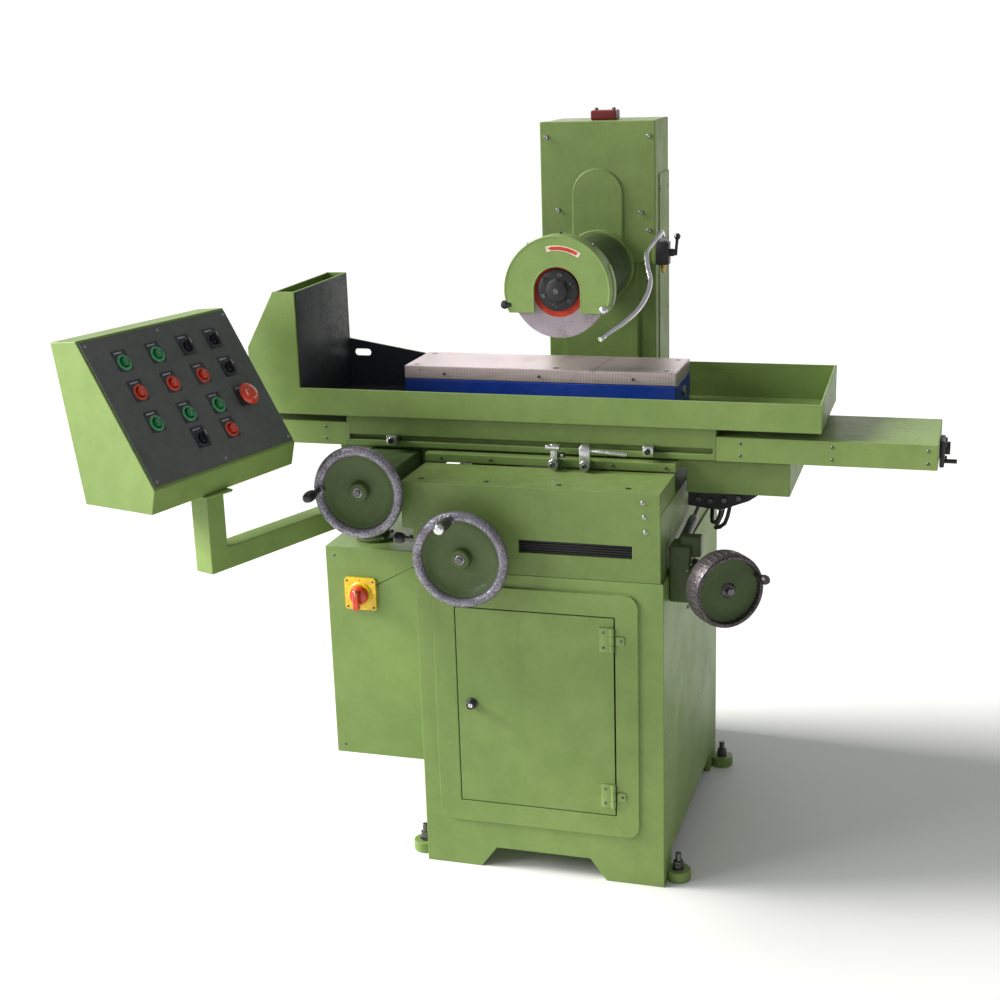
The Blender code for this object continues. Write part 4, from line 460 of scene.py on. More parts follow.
RIM = Mottled("worn_rim", srgb(158, 155, 168), srgb(98, 94, 100))
DARK_RIM = Mottled("dark_rim", srgb(104, 96, 98), srgb(44, 40, 44))
POLES = PoleFace("pole_face")
ABRASIVE = Grit("bonded_abrasive", srgb(200, 186, 196))
BLOTTER = Moulded("red_blotter", srgb(196, 62, 44), 0.85, skin=0.8)
BLACK_PLASTIC = Moulded("black_plastic", srgb(30, 30, 34), 0.30, coat=0.2)
BLACK_RUBBER = Moulded("black_rubber", srgb(26, 26, 28), 0.62, skin=0.6)
LEGEND = Moulded("legend_black", srgb(36, 36, 46), 0.40)
LEGEND_TEXT = Moulded("legend_blank", srgb(150, 152, 158), 0.5)
GREEN_PLASTIC = Moulded("green_plastic", srgb(0, 122, 64), 0.24, coat=0.4)
GREEN_RING = Moulded("green_ring", srgb(74, 150, 98), 0.34)
RED_PLASTIC = Moulded("red_plastic", srgb(214, 52, 26), 0.26, coat=0.4)
RED_RING = Moulded("red_ring", srgb(196, 70, 48), 0.34)
YELLOW_PLASTIC = Moulded("yellow_plastic", srgb(240, 196, 22), 0.30, coat=0.3)
CREAM_LABEL = Moulded("cream_label", srgb(226, 214, 190), 0.42)
MADE: dict[Finish, bpy.types.Material] = {}


def paint(finish: Finish) -> bpy.types.Material:
    """The material of a finish, made once."""
    if finish not in MADE:
        MADE[finish] = finish.material()
    return MADE[finish]


# ------------------------------------------------------------------------ shapes
@dataclass(frozen=True)
class Datum:
    """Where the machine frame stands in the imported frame."""

    overhang: float = 0.023

    def at(self, x: float, y: float, z: float) -> Vector:
        """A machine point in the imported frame."""
        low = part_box("bed")[0]
        return Vector((low.x + self.overhang + x, low.y + y, z))

    def joint(self, name: str) -> Vector:
        """Where a joint's axis lies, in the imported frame."""
        return Vector(next(j["pos_m"] for j in frame["joints"] if j["name"] == name))


DATUM = Datum()
at = DATUM.at


def arc(centre: Point, radius: float, start: float, end: float,
        steps: int = 16) -> list[tuple[float, float]]:
    """Points on a circle.

    Args:
        centre, radius: of the circle.
        start, end: in degrees.
        steps: how many chords.
    Returns:
        The points, both ends included.
    """
    turns = [math.radians(start + (end - start) * i / steps) for i in range(steps + 1)]
    return [(centre[0] + radius * math.cos(t), centre[1] + radius * math.sin(t)) for t in turns]


def rounded(low: Point, high: Point, radius: float, steps: int = 5) -> list[tuple[float, float]]:
    """A rectangle's outline with round corners, anticlockwise."""
    (x0, y0), (x1, y1) = low, high
    corners = (((x1 - radius, y1 - radius), 0), ((x0 + radius, y1 - radius), 90),
               ((x0 + radius, y0 + radius), 180), ((x1 - radius, y0 + radius), 270))
    return [p for centre, start in corners for p in arc(centre, radius, start, start + 90, steps)]


def circle(centre: Point, radius: float, sides: int = 32) -> list[tuple[float, float]]:
    """A closed circle's points."""
    return arc(centre, radius, 0, 360, sides)[:-1]


def smooth_route(points: Sequence[Point], per_span: int) -> list[Vector]:
    """Points along a smooth curve through the given ones.

    Args:
        points: what it passes through.
        per_span: how many steps there are between two of them.
    Returns:
        The finer points.
    """
    knots = [Vector(p) for p in [points[0], *points, points[-1]]]
    route = []
    for a, b, c, d in zip(knots, knots[1:], knots[2:], knots[3:]):
        for step in range(per_span):
            t = step / per_span
            route.append(0.5 * (2 * b + (c - a) * t + (2 * a - 5 * b + 4 * c - d) * t ** 2
                                + (3 * b - a - 3 * c + d) * t ** 3))
    return route + [knots[-1]]


class Shape:
    """Closed solids gathered into one piece, each with its own finish."""

    def __init__(self, name: str, place: Matrix | None = None) -> None:
        """Start a piece whose own frame lies at place."""
        self.name, self.place = name, place or Matrix()
        self.mesh = bmesh.new()
        self.finishes: list[Finish] = []

    def _take(self, solid: bmesh.types.BMesh, finish: Finish, turn: Matrix, bevel: float,
              segments: int = 2) -> "Shape":
        """Bevel a solid's sharp edges, place it and add it to the piece."""
        if bevel:
            sharp = [e for e in solid.edges if e.is_manifold and e.calc_face_angle(0) > math.radians(38)]
            bmesh.ops.bevel(solid, geom=sharp, offset=bevel, segments=segments, profile=0.5,
                            affect="EDGES", clamp_overlap=True)
        if finish not in self.finishes:
            self.finishes.append(finish)
        for face in solid.faces:
            face.material_index = self.finishes.index(finish)
            face.smooth = True
        bmesh.ops.transform(solid, matrix=turn, verts=solid.verts)
        bmesh.ops.recalc_face_normals(solid, faces=solid.faces)
        held = bpy.data.meshes.new("held")
        solid.to_mesh(held)
        solid.free()
        self.mesh.from_mesh(held)
        bpy.data.meshes.remove(held)
        return self

    def block(self, low: Point, high: Point, finish: Finish, bevel: float = 0.0006,
              turn: Matrix = Matrix()) -> "Shape":
        """A block between two corners with eased edges."""
        low, high = Vector(low), Vector(high)
        solid = bmesh.new()
        bmesh.ops.create_cube(solid, size=1.0)
        bmesh.ops.scale(solid, vec=high - low, verts=solid.verts)
        bmesh.ops.translate(solid, vec=(low + high) / 2, verts=solid.verts)
        return self._take(solid, finish, turn, bevel)

    def turned(self, profile: Sequence[Point], finish: Finish, base: Point = (0, 0, 0),
               axis: Point = (0, 0, 1), sides: int = 48, bevel: float = 0.0) -> "Shape":
        """A piece turned on a lathe.

        Args:
            profile: (radius, height) points; the ends on the axis, or a closed ring off it.
            finish: what it is made of.
            base, axis: where height 0 lies, and which way height runs.
            sides: how many facets it has.
            bevel: how far its sharp edges are eased.
        Returns:
            The shape.
        """
        solid = bmesh.new()
        ring = profile[0][0] > 1e-7 or profile[-1][0] > 1e-7
        rows = []
        for radius, height in profile:
            if radius < 1e-7:
                rows.append([solid.verts.new((0, 0, height))] * sides)
            else:
                rows.append([solid.verts.new((radius * math.cos(2 * math.pi * i / sides),
                                              radius * math.sin(2 * math.pi * i / sides), height))
                             for i in range(sides)])
        pairs = list(zip(rows, rows[1:])) + ([(rows[-1], rows[0])] if ring else [])
        for first, second in pairs:
            for i in range(sides):
                corners = [first[i], first[(i + 1) % sides], second[(i + 1) % sides], second[i]]
                once = list(dict.fromkeys(corners))
                if len(once) > 2:
                    solid.faces.new(once)
        turn = Matrix.Translation(base) @ Vector(axis).to_track_quat("Z", "Y").to_matrix().to_4x4()
        return self._take(solid, finish, turn, bevel)

    def bar(self, start: Point, end: Point, radius: float, finish: Finish, sides: int = 32,
            ease: float = 0.0006) -> "Shape":
        """A round bar between two points with eased ends."""
        run = Vector(end) - Vector(start)
        ease = min(ease, radius * 0.4, run.length * 0.3)
        return self.turned([(0, 0), (radius - ease, 0), (radius, ease), (radius, run.length - ease),
                            (radius - ease, run.length), (0, run.length)], finish, start, run, sides)

    def hexagon(self, base: Point, axis: Point, across: float, height: float, finish: Finish) -> "Shape":
        """A hexagon nut or bolt head, its corners taken off at the top."""
        radius = across / math.sqrt(3)
        return self.turned([(0, 0), (radius, 0), (radius, height * 0.8), (radius * 0.86, height),
                (0, height)],
                           finish, base, axis, 6)

    def screw(self, base: Point, axis: Point, radius: float, finish: Finish) -> "Shape":
        """A socket-head screw with its hexagon socket sunk in the head."""
        tall = radius * 1.2
        return self.turned([(0, tall * 0.45), (radius * 0.48, tall * 0.45), (radius * 0.52, tall * 0.97),
                            (radius * 0.86, tall), (radius, tall * 0.86), (radius, -0.0005), (0, -0.0005)],
                           finish, base, axis, 24)

    def cut_out(self, outline: Sequence[Point], depth: float, finish: Finish, turn: Matrix,
                holes: Sequence[Sequence[Point]] = (), bevel: float = 0.0004) -> "Shape":
        """A flat piece cut to an outline, with holes.

        Args:
            outline: its corners in u and v.
            depth: how thick it is, towards +w from turn's plane.
            finish: what it is made of.
            turn: where u, v and w lie.
            holes: outlines of what is cut away.
            bevel: how far its edges are eased.
        Returns:
            The shape.
        """
        loops = [list(outline), *[list(h) for h in holes]]
        flat = [[Vector((u, v, 0)) for u, v in loop] for loop in loops]
        solid = bmesh.new()
        low = [[solid.verts.new(p) for p in loop] for loop in flat]
        high = [[solid.verts.new(p + Vector((0, 0, depth))) for p in loop] for loop in flat]
        low_all, high_all = sum(low, []), sum(high, [])
        for a, b, c in tessellate_polygon(flat):
            for side in (low_all, high_all):
                if len({a, b, c}) == 3:
                    solid.faces.new((side[a], side[b], side[c]))
        for one, two in zip(low, high):
            for i in range(len(one)):
                j = (i + 1) % len(one)
                solid.faces.new((one[i], one[j], two[j], two[i]))
        bmesh.ops.recalc_face_normals(solid, faces=solid.faces)
        bmesh.ops.dissolve_limit(solid, angle_limit=0.01, verts=solid.verts, edges=solid.edges)
        return self._take(solid, finish, turn, bevel, 1)

    def tube(self, points: Sequence[Point], radius: float, finish: Finish, sides: int = 20) -> "Shape":
        """A round tube along a line of points, its frame carried without twist."""
        route = [Vector(p) for p in points]
        solid = bmesh.new()
        along = [(b - a).normalized() for a, b in zip(route, route[1:])]
        tangents = [along[0], *[(a + b).normalized() for a, b in zip(along, along[1:])], along[-1]]
        side = tangents[0].orthogonal().normalized()
        rings = []
        for point, ahead in zip(route, tangents):
            side = (side - ahead * side.dot(ahead)).normalized()
            other = ahead.cross(side)
            rings.append([solid.verts.new(point + radius * (side * math.cos(2 * math.pi * i / sides)
                                                            + other * math.sin(2 * math.pi * i / sides)))
                          for i in range(sides)])
        for first, second in zip(rings, rings[1:]):
            for i in range(sides):
                solid.faces.new((first[i], first[(i + 1) % sides], second[(i + 1) % sides], second[i]))
        solid.faces.new(rings[0][::-1])
        solid.faces.new(rings[-1])
        return self._take(solid, finish, Matrix(), 0)

    def done(self, body: str, slot: str, replaces: Iterable[str] = ()) -> bpy.types.Object:
        """Make the object, ride it on its body and hide the CAD nodes that it stands for.

        Args:
            body: the CAD body that it moves with.
            slot: the record's material slot; not used.
            replaces: the CAD nodes that it stands for.
        Returns:
            The object.
        """
        data = bpy.data.meshes.new(self.name)
        self.mesh.to_mesh(data)
        self.mesh.free()
        for finish in self.finishes:
            data.materials.append(paint(finish))
        data.set_sharp_from_angle(angle=math.radians(32))
        made = bpy.data.objects.new(self.name, data)
        made.matrix_world = self.place
        bpy.context.scene.collection.objects.link(made)
        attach(made, body)
        if replaces:
            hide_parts(*replaces)
        LOG.info("made %s on %s", self.name, body)
        return made


def dress(node: str, finish: Finish, edge: float = 0.0014) -> None:
    """Give a CAD node its finish and rounded edges; its own mesh stays as it is.

    Args:
        node: the CAD node.
        finish: what it is made of.
        edge: the radius that its sharp edges are eased to.
    """
    thing = frame["nodes"][node]
    data = thing.data
    data.materials.clear()
    data.materials.append(paint(finish))
    held = data.attributes.get("custom_normal")
    if held is not None:
        data.attributes.remove(held)
    data.shade_smooth()
    weld = thing.modifiers.new("weld", "WELD")
    weld.merge_threshold = 0.00002
    ease = thing.modifiers.new("eased_edges", "BEVEL")
    ease.width = edge
    ease.segments = 2
    ease.limit_method = "ANGLE"
    ease.angle_limit = math.radians(36)
    ease.use_clamp_overlap = False
    even = thing.modifiers.new("even_shading", "WEIGHTED_NORMAL")
    even.mode = "FACE_AREA"
    even.weight = 80
    LOG.info("dressed %s", node)


# ----------------------------------------------------------------------- setting
@dataclass
class Setting:
    """Camera, floor and lights."""

    eye: tuple = (1.0890, -2.9056, 1.6869)
    yaw: float = 0.3010
    pitch: float = -0.2792
    roll: float = -0.0319
    lens: float = 57.5
    sun: tuple = (-0.84, -0.12, 0.52)

    def camera(self) -> None:
        """The camera, at the height of a standing person in front and to the right."""
        data = bpy.data.cameras.new("camera")
        data.lens, data.sensor_width = self.lens, 36.0
        made = bpy.data.objects.new("camera", data)
        ahead = Vector((-math.sin(self.yaw) * math.cos(self.pitch),
                        math.cos(self.yaw) * math.cos(self.pitch), math.sin(self.pitch)))
        right = ahead.cross(Vector((0, 0, 1))).normalized()
        top = right.cross(ahead)
        r = math.cos(self.roll) * right + math.sin(self.roll) * top
        u = -math.sin(self.roll) * right + math.cos(self.roll) * top
        made.matrix_world = Matrix.Translation(at(*self.eye)) @ Matrix((r, u, -ahead)).transposed().to_4x4()
        bpy.context.scene.collection.objects.link(made)
        bpy.context.scene.camera = made

    def floor(self) -> None:
        """A wide pale floor that sweeps up into a backdrop."""
        g = Graph("pale_floor")
        tone = g.noise(0.8, 3)
        colour = g.mix(tone, (0.80, 0.80, 0.79), (0.84, 0.84, 0.83))
        g.wear({"Base Color": colour, "Roughness": tone * 0.1 + 0.75, "Specular IOR Level": 0.2})
        bend, start, slope = 3.0, 6.0, math.radians(32)
        profile = [(-14.0, 0.0), *arc((start, bend), bend, -90, -58, 12)]
        profile.append((profile[-1][0] + 14 * math.cos(slope), profile[-1][1] + 14 * math.sin(slope)))
        solid = bmesh.new()
        rows = [[solid.verts.new((x, y, z)) for y, z in profile] for x in (-24.0, -8.0, 8.0, 24.0)]
        for first, second in zip(rows, rows[1:]):
            for i in range(len(profile) - 1):
                solid.faces.new((first[i], second[i], second[i + 1], first[i + 1])).smooth = True
        data = bpy.data.meshes.new("floor")
        solid.to_mesh(data)
        solid.free()
        data.materials.append(g.material)
        made = bpy.data.objects.new("floor", data)
        made.location.z = -0.0005
        bpy.context.scene.collection.objects.link(made)

    def lights(self) -> None:
        """A soft key from the left and front, a dim fill, and pale surroundings."""
        scene = bpy.context.scene
        scene.view_settings.view_transform = "Standard"
        world = bpy.data.worlds.new("studio")
        world.use_nodes = True
        sky = world.node_tree.nodes["Background"]
        sky.inputs[0].default_value = (0.96, 0.98, 1.0, 1.0)
        sky.inputs[1].default_value = 0.34
        scene.world = world
        sun = bpy.data.lights.new("key", "SUN")
        sun.energy, sun.angle = 5.8, math.radians(24)
        sun.color = (1.0, 0.985, 0.95)
        lamp = bpy.data.objects.new("key", sun)
        lamp.rotation_mode = "QUATERNION"
        lamp.rotation_quaternion = Vector(self.sun).to_track_quat("Z", "Y")
        scene.collection.objects.link(lamp)
        for name, place, size, power in (("side_fill", (-2.3, -1.9, 1.7), 1.2, 42.0),
                                         ("back_fill", (-1.2, 4.6, 2.8), 3.0, 30.0)):
            soft = bpy.data.lights.new(name, "AREA")
            soft.size, soft.energy = size, power
            made = bpy.data.objects.new(name, soft)
            made.location = place
            made.rotation_mode = "QUATERNION"
            made.rotation_quaternion = (Vector(place) - Vector((0, 0, 0.8))).to_track_quat("Z", "Y")
            scene.collection.objects.link(made)


# ------------------------------------------------------------------------- hoses
@dataclass
class Hoses:
    """The two short hydraulic hoses under the saddle's right wing."""

    start: tuple = (0.510, 0.245, 0.794)
    radius: float = 0.0042
    left: tuple = ((0.078, -0.010, -0.0370), (0.078, -0.010, -0.044), (0.078, -0.010, -0.051),
                   (0.068, 0.010, -0.076), (0.052, 0.045, -0.088), (0.046, 0.083, -0.072),
                   (0.046, 0.102, -0.037), (0.046, 0.105, -0.0225), (0.046, 0.105, -0.0165),
                   (0.046, 0.105, -0.0104))
    right: tuple = ((0.092, 0.017, -0.0370), (0.092, 0.017, -0.044), (0.092, 0.017, -0.051),
                    (0.080, 0.035, -0.088), (0.056, 0.065, -0.108), (0.062, 0.105, -0.092),
                    (0.070, 0.127, -0.044), (0.070, 0.131, -0.0225), (0.070, 0.131, -0.0165),
                    (0.070, 0.131, -0.0104))

    def build(self) -> None:
        """Both hoses, each from the valve's underside back up to its manifold."""
        for node, route in (("hose_left", self.left), ("hose_right", self.right)):
            points = [at(*(Vector(self.start) + Vector(p))) for p in smooth_route(route, 2)]
            curve = bpy.data.curves.new(f"{node}_line", "CURVE")
            curve.dimensions, curve.bevel_depth, curve.bevel_resolution = "3D", self.radius, 5
            curve.use_fill_caps = True
            line = curve.splines.new("POLY")
            line.points.add(len(points) - 1)
            for knot, point in zip(line.points, points):
                knot.co = (*point, 1)
            curve.materials.append(paint(BLACK_RUBBER))
            made = bpy.data.objects.new(f"{node}_rubber", curve)
            bpy.context.scene.collection.objects.link(made)
            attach(made, "saddle")
            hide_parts(node)
            long = sum((b - a).length for a, b in zip(points, points[1:]))
            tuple(points[0])
            2 * self.radius
            LOG.info("made %s, %.0f mm long", node, long * 1000)

    def unions(self) -> None:
        """The swivel nuts that hold the hoses' ends."""
        ends = Shape("hose_unions")
        for route in (self.left, self.right):
            for tip, heading in ((route[0], -1), (route[-1], -1)):
                base = Vector(self.start) + Vector(tip)
                base.z += 0.0006 if tip is route[0] else 0.0002
                ends.hexagon(at(*base), (0, 0, heading), 0.0135, 0.009, OILY_STEEL)
        ends.done("saddle", "screw_steel")


# ---------------------------------------------------------------------- pedestal
@dataclass
class Pedestal:
    """Sheet-steel pedestal with its door, levelling screws and oil tank."""

    lug_x: tuple = (-0.0208, 0.5358)
    lug_y: tuple = (0.0468, 0.6100)
    hinge_x: float = 0.412
    hinge_y: float = -0.008
    hinge_z: tuple = (0.198, 0.538)
    latch: tuple = (0.115, -0.006, 0.3755)

    def build(self) -> None:
        """Dress the sheet metal and add its fittings."""
        dress("pedestal", GREEN, 0.0014)
        dress("door", GREEN, 0.0010)
        dress("hydraulic_unit", Enamel("tank_grey", srgb(96, 100, 98), 0.45), 0.0015)
        self.levelling_screws()
        self.hinges()
        self.lock()
        self.rear_panel()

    def levelling_screws(self) -> None:
        """A stud and two nuts on each lug."""
        studs = Shape("levelling_screws")
        for x in self.lug_x:
            for y in self.lug_y:
                studs.bar(at(x, y, 0.0215), at(x, y, 0.058), 0.0062, OILY_STEEL, 20)
                studs.turned([(0, 0), (0.013, 0), (0.0126, 0.0016), (0, 0.0016)], OILY_STEEL,
                        at(x, y, 0.0222))
                studs.hexagon(at(x, y, 0.0238), (0, 0, 1), 0.0190, 0.0095, OILY_STEEL)
                studs.hexagon(at(x, y, 0.0345), (0, 0, 1), 0.0190, 0.0060, OILY_STEEL)
        studs.done("machine", "screw_steel")

    def hinges(self) -> None:
        """Hinge barrels with their leaves: the middle knuckles on the frame."""
        moving, fixed = Shape("door_hinges"), Shape("frame_hinges")
        for z in self.hinge_z:
            for low, high, shape in ((-0.026, -0.0095, moving), (-0.009, 0.009, fixed),
                    (0.0095, 0.026, moving)):
                shape.bar(at(self.hinge_x, self.hinge_y, z + low), at(self.hinge_x, self.hinge_y, z + high),
                          0.0052, PALE_GREEN, 20)
            fixed.block(at(self.hinge_x + 0.0085, -0.0085, z - 0.009),
                    at(self.hinge_x + 0.026, -0.0062, z + 0.009), PALE_GREEN)
            moving.block(at(self.hinge_x - 0.026, -0.0085, z - 0.026),
                    at(self.hinge_x - 0.002, -0.0062, z + 0.026), PALE_GREEN)
            for side in (-0.016, 0.016):
                moving.turned([(0, 0.0013), (0.002, 0.0011), (0.0034, 0), (0.0034, -0.0004), (0, -0.0004)],
                              OILY_STEEL, at(self.hinge_x - 0.017, -0.0085, z + side), (0, -1, 0), 20)
            fixed.turned([(0, 0.0013), (0.002, 0.0011), (0.0034, 0), (0.0034, -0.0004), (0, -0.0004)],
                         OILY_STEEL, at(self.hinge_x + 0.019, -0.0085, z), (0, -1, 0), 20)
        moving.done("door", "machine_green")
        fixed.done("machine", "machine_green")

    def lock(self) -> None:
        """Turning lock with a slotted barrel in a black knob, and its tongue."""
        x, y, z = self.latch
        knob = Shape("door_lock")
        knob.turned([(0, 0.0128), (0.0052, 0.0128), (0.0056, 0.0132), (0.0070, 0.0160), (0.0086, 0.0148),
                (0.0094, 0.0110),
                     (0.0090, 0.0040), (0.0118, 0.0026), (0.0122, 0.0006), (0.0050, 0.0006),
                     (0.0050, -0.0110), (0, -0.0110)],
                    BLACK_PLASTIC, at(x, y, z), (0, -1, 0), 36)
        knob.turned([(0, 0.0146), (0.0046, 0.0146), (0.0052, 0.0140), (0.0052, 0.0120), (0, 0.0120)],
                CHROME,
                    at(x, y, z), (0, -1, 0), 28)
        knob.block(at(x - 0.0007, y - 0.01485, z - 0.0034), at(x + 0.0007, y - 0.0138, z + 0.0034),
                BLACK_PLASTIC, 0.0001)
        knob.block(at(x - 0.0060, 0.0072, z - 0.005), at(x + 0.0060, 0.0088, z + 0.044), OILY_STEEL, 0.0004)
        knob.bar(at(x, 0.0015, z), at(x, 0.0110, z), 0.0042, OILY_STEEL, 20)
        knob.done("door_latch", "black", ["door_latch"])

    def rear_panel(self) -> None:
        """Cover plate and its screws on the back of the pedestal's tail."""
        low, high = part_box("pedestal")
        back = high.y
        x0, x1, z0, z1 = 0.115, 0.400, 0.170, 0.560
        cover = Shape("rear_cover")
        turn = Matrix.Translation((0, back + 0.0004, 0)) @ Matrix.Rotation(math.radians(180), 4,
                "Z") @ ACROSS
        shift = at(0, 0, 0).x
        cover.cut_out(rounded((-(shift + x1), z0), (-(shift + x0), z1), 0.012), 0.0022, PALE_GREEN, turn,
                bevel=0.0006)
        for x in (x0 + 0.016, (x0 + x1) / 2, x1 - 0.016):
            for z in (z0 + 0.016, z1 - 0.016):
                place = at(x, 0, z)
                place.y = back + 0.0026
                cover.screw(place, (0, 1, 0), 0.0042, OILY_STEEL)
        for k in range(9):
            z = z0 + 0.09 + 0.026 * k
            cover.block((at(x0 + 0.05, 0, 0).x, back + 0.0020, z),
                    (at(x1 - 0.05, 0, 0).x, back + 0.0052, z + 0.009), PALE_GREEN, 0.0014)
        cover.done("machine", "machine_green")


# --------------------------------------------------------------------------- bed
@dataclass
class Bed:
    """Cast bed with the wiper in its slot, the apron's screws and the oil plunger."""

    slot_x: tuple = (0.2225, 0.4525)
    slot_z: tuple = (0.7072, 0.7338)
    screw_x: tuple = (0.475, 0.478, 0.480)
    screw_z: tuple = (0.824, 0.795, 0.765)

    def build(self) -> None:
        """Dress the casting and add its fittings."""
        dress("bed", CAST_GREEN, 0.0012)
        dress("cross_screw", OILY_STEEL, 0.0004)
        wiper = Shape("slot_wiper")
        wiper.block(at(self.slot_x[0], 0.0085, self.slot_z[0]), at(self.slot_x[1], 0.0175, self.slot_z[1]),
                BLACK_RUBBER)
        for k in range(5):
            z = self.slot_z[0] + 0.0016 + 0.0052 * k
            wiper.block(at(self.slot_x[0] + 0.0005, 0.0050, z),
                    at(self.slot_x[1] - 0.0005, 0.0090, z + 0.0030),
                        BLACK_RUBBER, 0.0009)
        wiper.done("machine", "hose")
        heads = Shape("apron_screws")
        for x, z in zip(self.screw_x, self.screw_z):
            heads.turned([(0, 0.0018), (0.0026, 0.0016), (0.0046, 0.0004), (0.0048, -0.0004), (0, -0.0004)],
                         STEEL, at(x, -0.0001, z), (0, -1, 0), 28)
            heads.block(at(x - 0.0032, -0.00215, z - 0.0004), at(x + 0.0032, -0.0014, z + 0.0004),
                    SATIN_BLACK, 0.0001)
        for x in (0.012, 0.150, 0.300, 0.440):
            heads.turned([(0, 0.0006), (0.0055, 0.0006), (0.0062, 0), (0.0062, -0.0004), (0, -0.0004)],
                         SATIN_BLACK, at(x, 0.030, 0.8426), (0, 0, 1), 24)
        heads.done("machine", "steel")
        self.plunger()
        self.clamp_lever()

    def plunger(self) -> None:
        """Hand plunger of the way lubricator on the bed's left side."""
        knob = Shape("oil_plunger")
        base = at(-0.0004, 0.022, 0.716)
        knob.turned([(0, 0), (0.011, 0), (0.011, 0.004), (0.0075, 0.006), (0.0075, 0.014), (0.0045, 0.015),
                (0.0045, 0.030),
                     (0, 0.030)], OILY_STEEL, base, (-1, 0, 0), 32)
        knob.turned([(0, 0), (0.008, 0.0), (0.0105, 0.004), (0.0120, 0.010), (0.0118, 0.017),
                (0.0085, 0.0215), (0, 0.023)],
                    BLACK_PLASTIC, base + Vector((-0.027, 0, 0)), (-1, 0, 0), 36)
        knob.done("machine", "black")

    def clamp_lever(self) -> None:
        """Saddle clamp: pivot boss, thin stem and a long grip."""
        pivot = DATUM.joint("clamp_lever_turn")
        back = pivot + Vector((-0.001, -0.068, -0.0145))
        tip = pivot + Vector((-0.0028, -0.210, -0.0305))
        lever = Shape("clamp_lever_grip")
        run = (tip - back).length
        lever.turned([(0, 0), (0.0060, 0.0004), (0.0090, 0.006), (0.0104, 0.020), (0.0098, run * 0.5),
                (0.0104, run - 0.010),
                      (0.0088, run - 0.003), (0.0050, run), (0, run)], BLACK_PLASTIC, back, tip - back, 32)
        lever.bar(pivot, back + (tip - back) * 0.1, 0.0043, OILY_STEEL, 20)
        lever.turned([(0, 0), (0.0082, 0), (0.0085, 0.0006), (0.0085, 0.025), (0.0070, 0.0264),
                (0, 0.0264)], OILY_STEEL,
                     pivot + Vector((-0.0192, 0, 0)), (1, 0, 0), 32)
        lever.done("clamp_lever", "black", ["clamp_lever"])


# ------------------------------------------------------------------------ saddle
@dataclass
class Saddle:
    """Saddle with its gearbox, valve, cylinder and the two trip levers."""

    lever_y: float = 0.140
    lever_z: float = 0.8565
    reverse_x: float = 0.262
    stop_x: float = 0.328

    def build(self) -> None:
        """Dress the castings and build the levers."""
        dress("saddle", CAST_GREEN, 0.0020)
        # painted shade: the gearbox under the table gets the green darkened for shade
        dress("traverse_gearbox", SHADE_DARKENED_GREEN, 0.0014)
        dress("reversing_valve", SATIN_BLACK, 0.0016)
        dress("table_cylinder", STEEL, 0.0006)
        self.reverse_lever()
        self.stop_lever()
        self.valve_fittings()

    def reverse_lever(self) -> None:
        """Upright post with a forked head, pushed by the table's dogs."""
        x, y, z = self.reverse_x, self.lever_y, self.lever_z
        lever = Shape("reverse_lever_post")
        lever.turned([(0, 0), (0.0070, 0), (0.0085, 0.0015), (0.0085, 0.030), (0.0076, 0.031),
                (0.0076, 0.033), (0.0086, 0.034),
                      (0.0086, 0.0435), (0.0070, 0.0455), (0, 0.0455)], CHROME, at(x, y, z - 0.0040),
                      (0, 0, 1), 40)
        lever.bar(at(x, y - 0.0126, z), at(x, 0.1556, z), 0.0108, STEEL, 36, 0.001)
        lever.block(at(x - 0.0165, y - 0.0090, z + 0.0290), at(x + 0.0135, y + 0.0068, z + 0.0405), CHROME,
                0.0022)
        lever.block(at(x + 0.002, y - 0.0046, z + 0.0140), at(x + 0.0235, y + 0.0036, z + 0.0235),
                SATIN_BLACK, 0.0016)
        lever.bar(at(x + 0.018, y - 0.0066, z + 0.0188), at(x + 0.018, y + 0.0052, z + 0.0188), 0.0034,
                STEEL, 20)
        lever.screw(at(x - 0.0010, y - 0.0126, z), (0, -1, 0), 0.0048, OILY_STEEL)
        lever.done("reverse_lever", "chrome", ["reverse_lever"])

    def stop_lever(self) -> None:
        """Upright post with its long bright handle to the right."""
        x, y, z = self.stop_x, self.lever_y, self.lever_z
        lever = Shape("stop_lever_post")
        lever.block(at(x - 0.0128, y - 0.0080, z + 0.0004), at(x + 0.0108, y + 0.0070, z + 0.0400), CHROME,
                0.0036)
        lever.turned([(0, 0), (0.0088, 0), (0.0095, 0.001), (0.0095, 0.0035), (0, 0.0042)], STEEL,
                at(x - 0.001, y, z + 0.0392), (0, 0, 1), 32)
        lever.bar(at(x, y - 0.0124, z), at(x, 0.1556, z), 0.0108, STEEL, 36, 0.001)
        lever.screw(at(x, y - 0.0124, z), (0, -1, 0), 0.0048, OILY_STEEL)
        start, end = at(x + 0.006, y, z + 0.0298), at(x + 0.0885, y - 0.004, z + 0.0260)
        lever.turned([(0, 0), (0.0036, 0), (0.0036, 0.014), (0.0050, 0.018), (0.0050, 0.074),
                (0.0040, 0.0815), (0, 0.0822)],
                     CHROME, start, end - start, 32)
        lever.done("stop_lever", "chrome", ["stop_lever"])

    def valve_fittings(self) -> None:
        """Plugs on the valve's front, and screws on the saddle's front."""
        plugs = Shape("valve_fittings")
        for x, z in ((0.548, 0.779), (0.572, 0.776), (0.600, 0.779), (0.630, 0.784)):
            plugs.hexagon(at(x, 0.2052, z), (0, -1, 0), 0.011, 0.006, OILY_STEEL)
        for x in (0.012, 0.120, 0.380, 0.490):
            plugs.screw(at(x, 0.1561, 0.8528), (0, -1, 0), 0.0030, OILY_STEEL)
        plugs.done("saddle", "screw_steel")


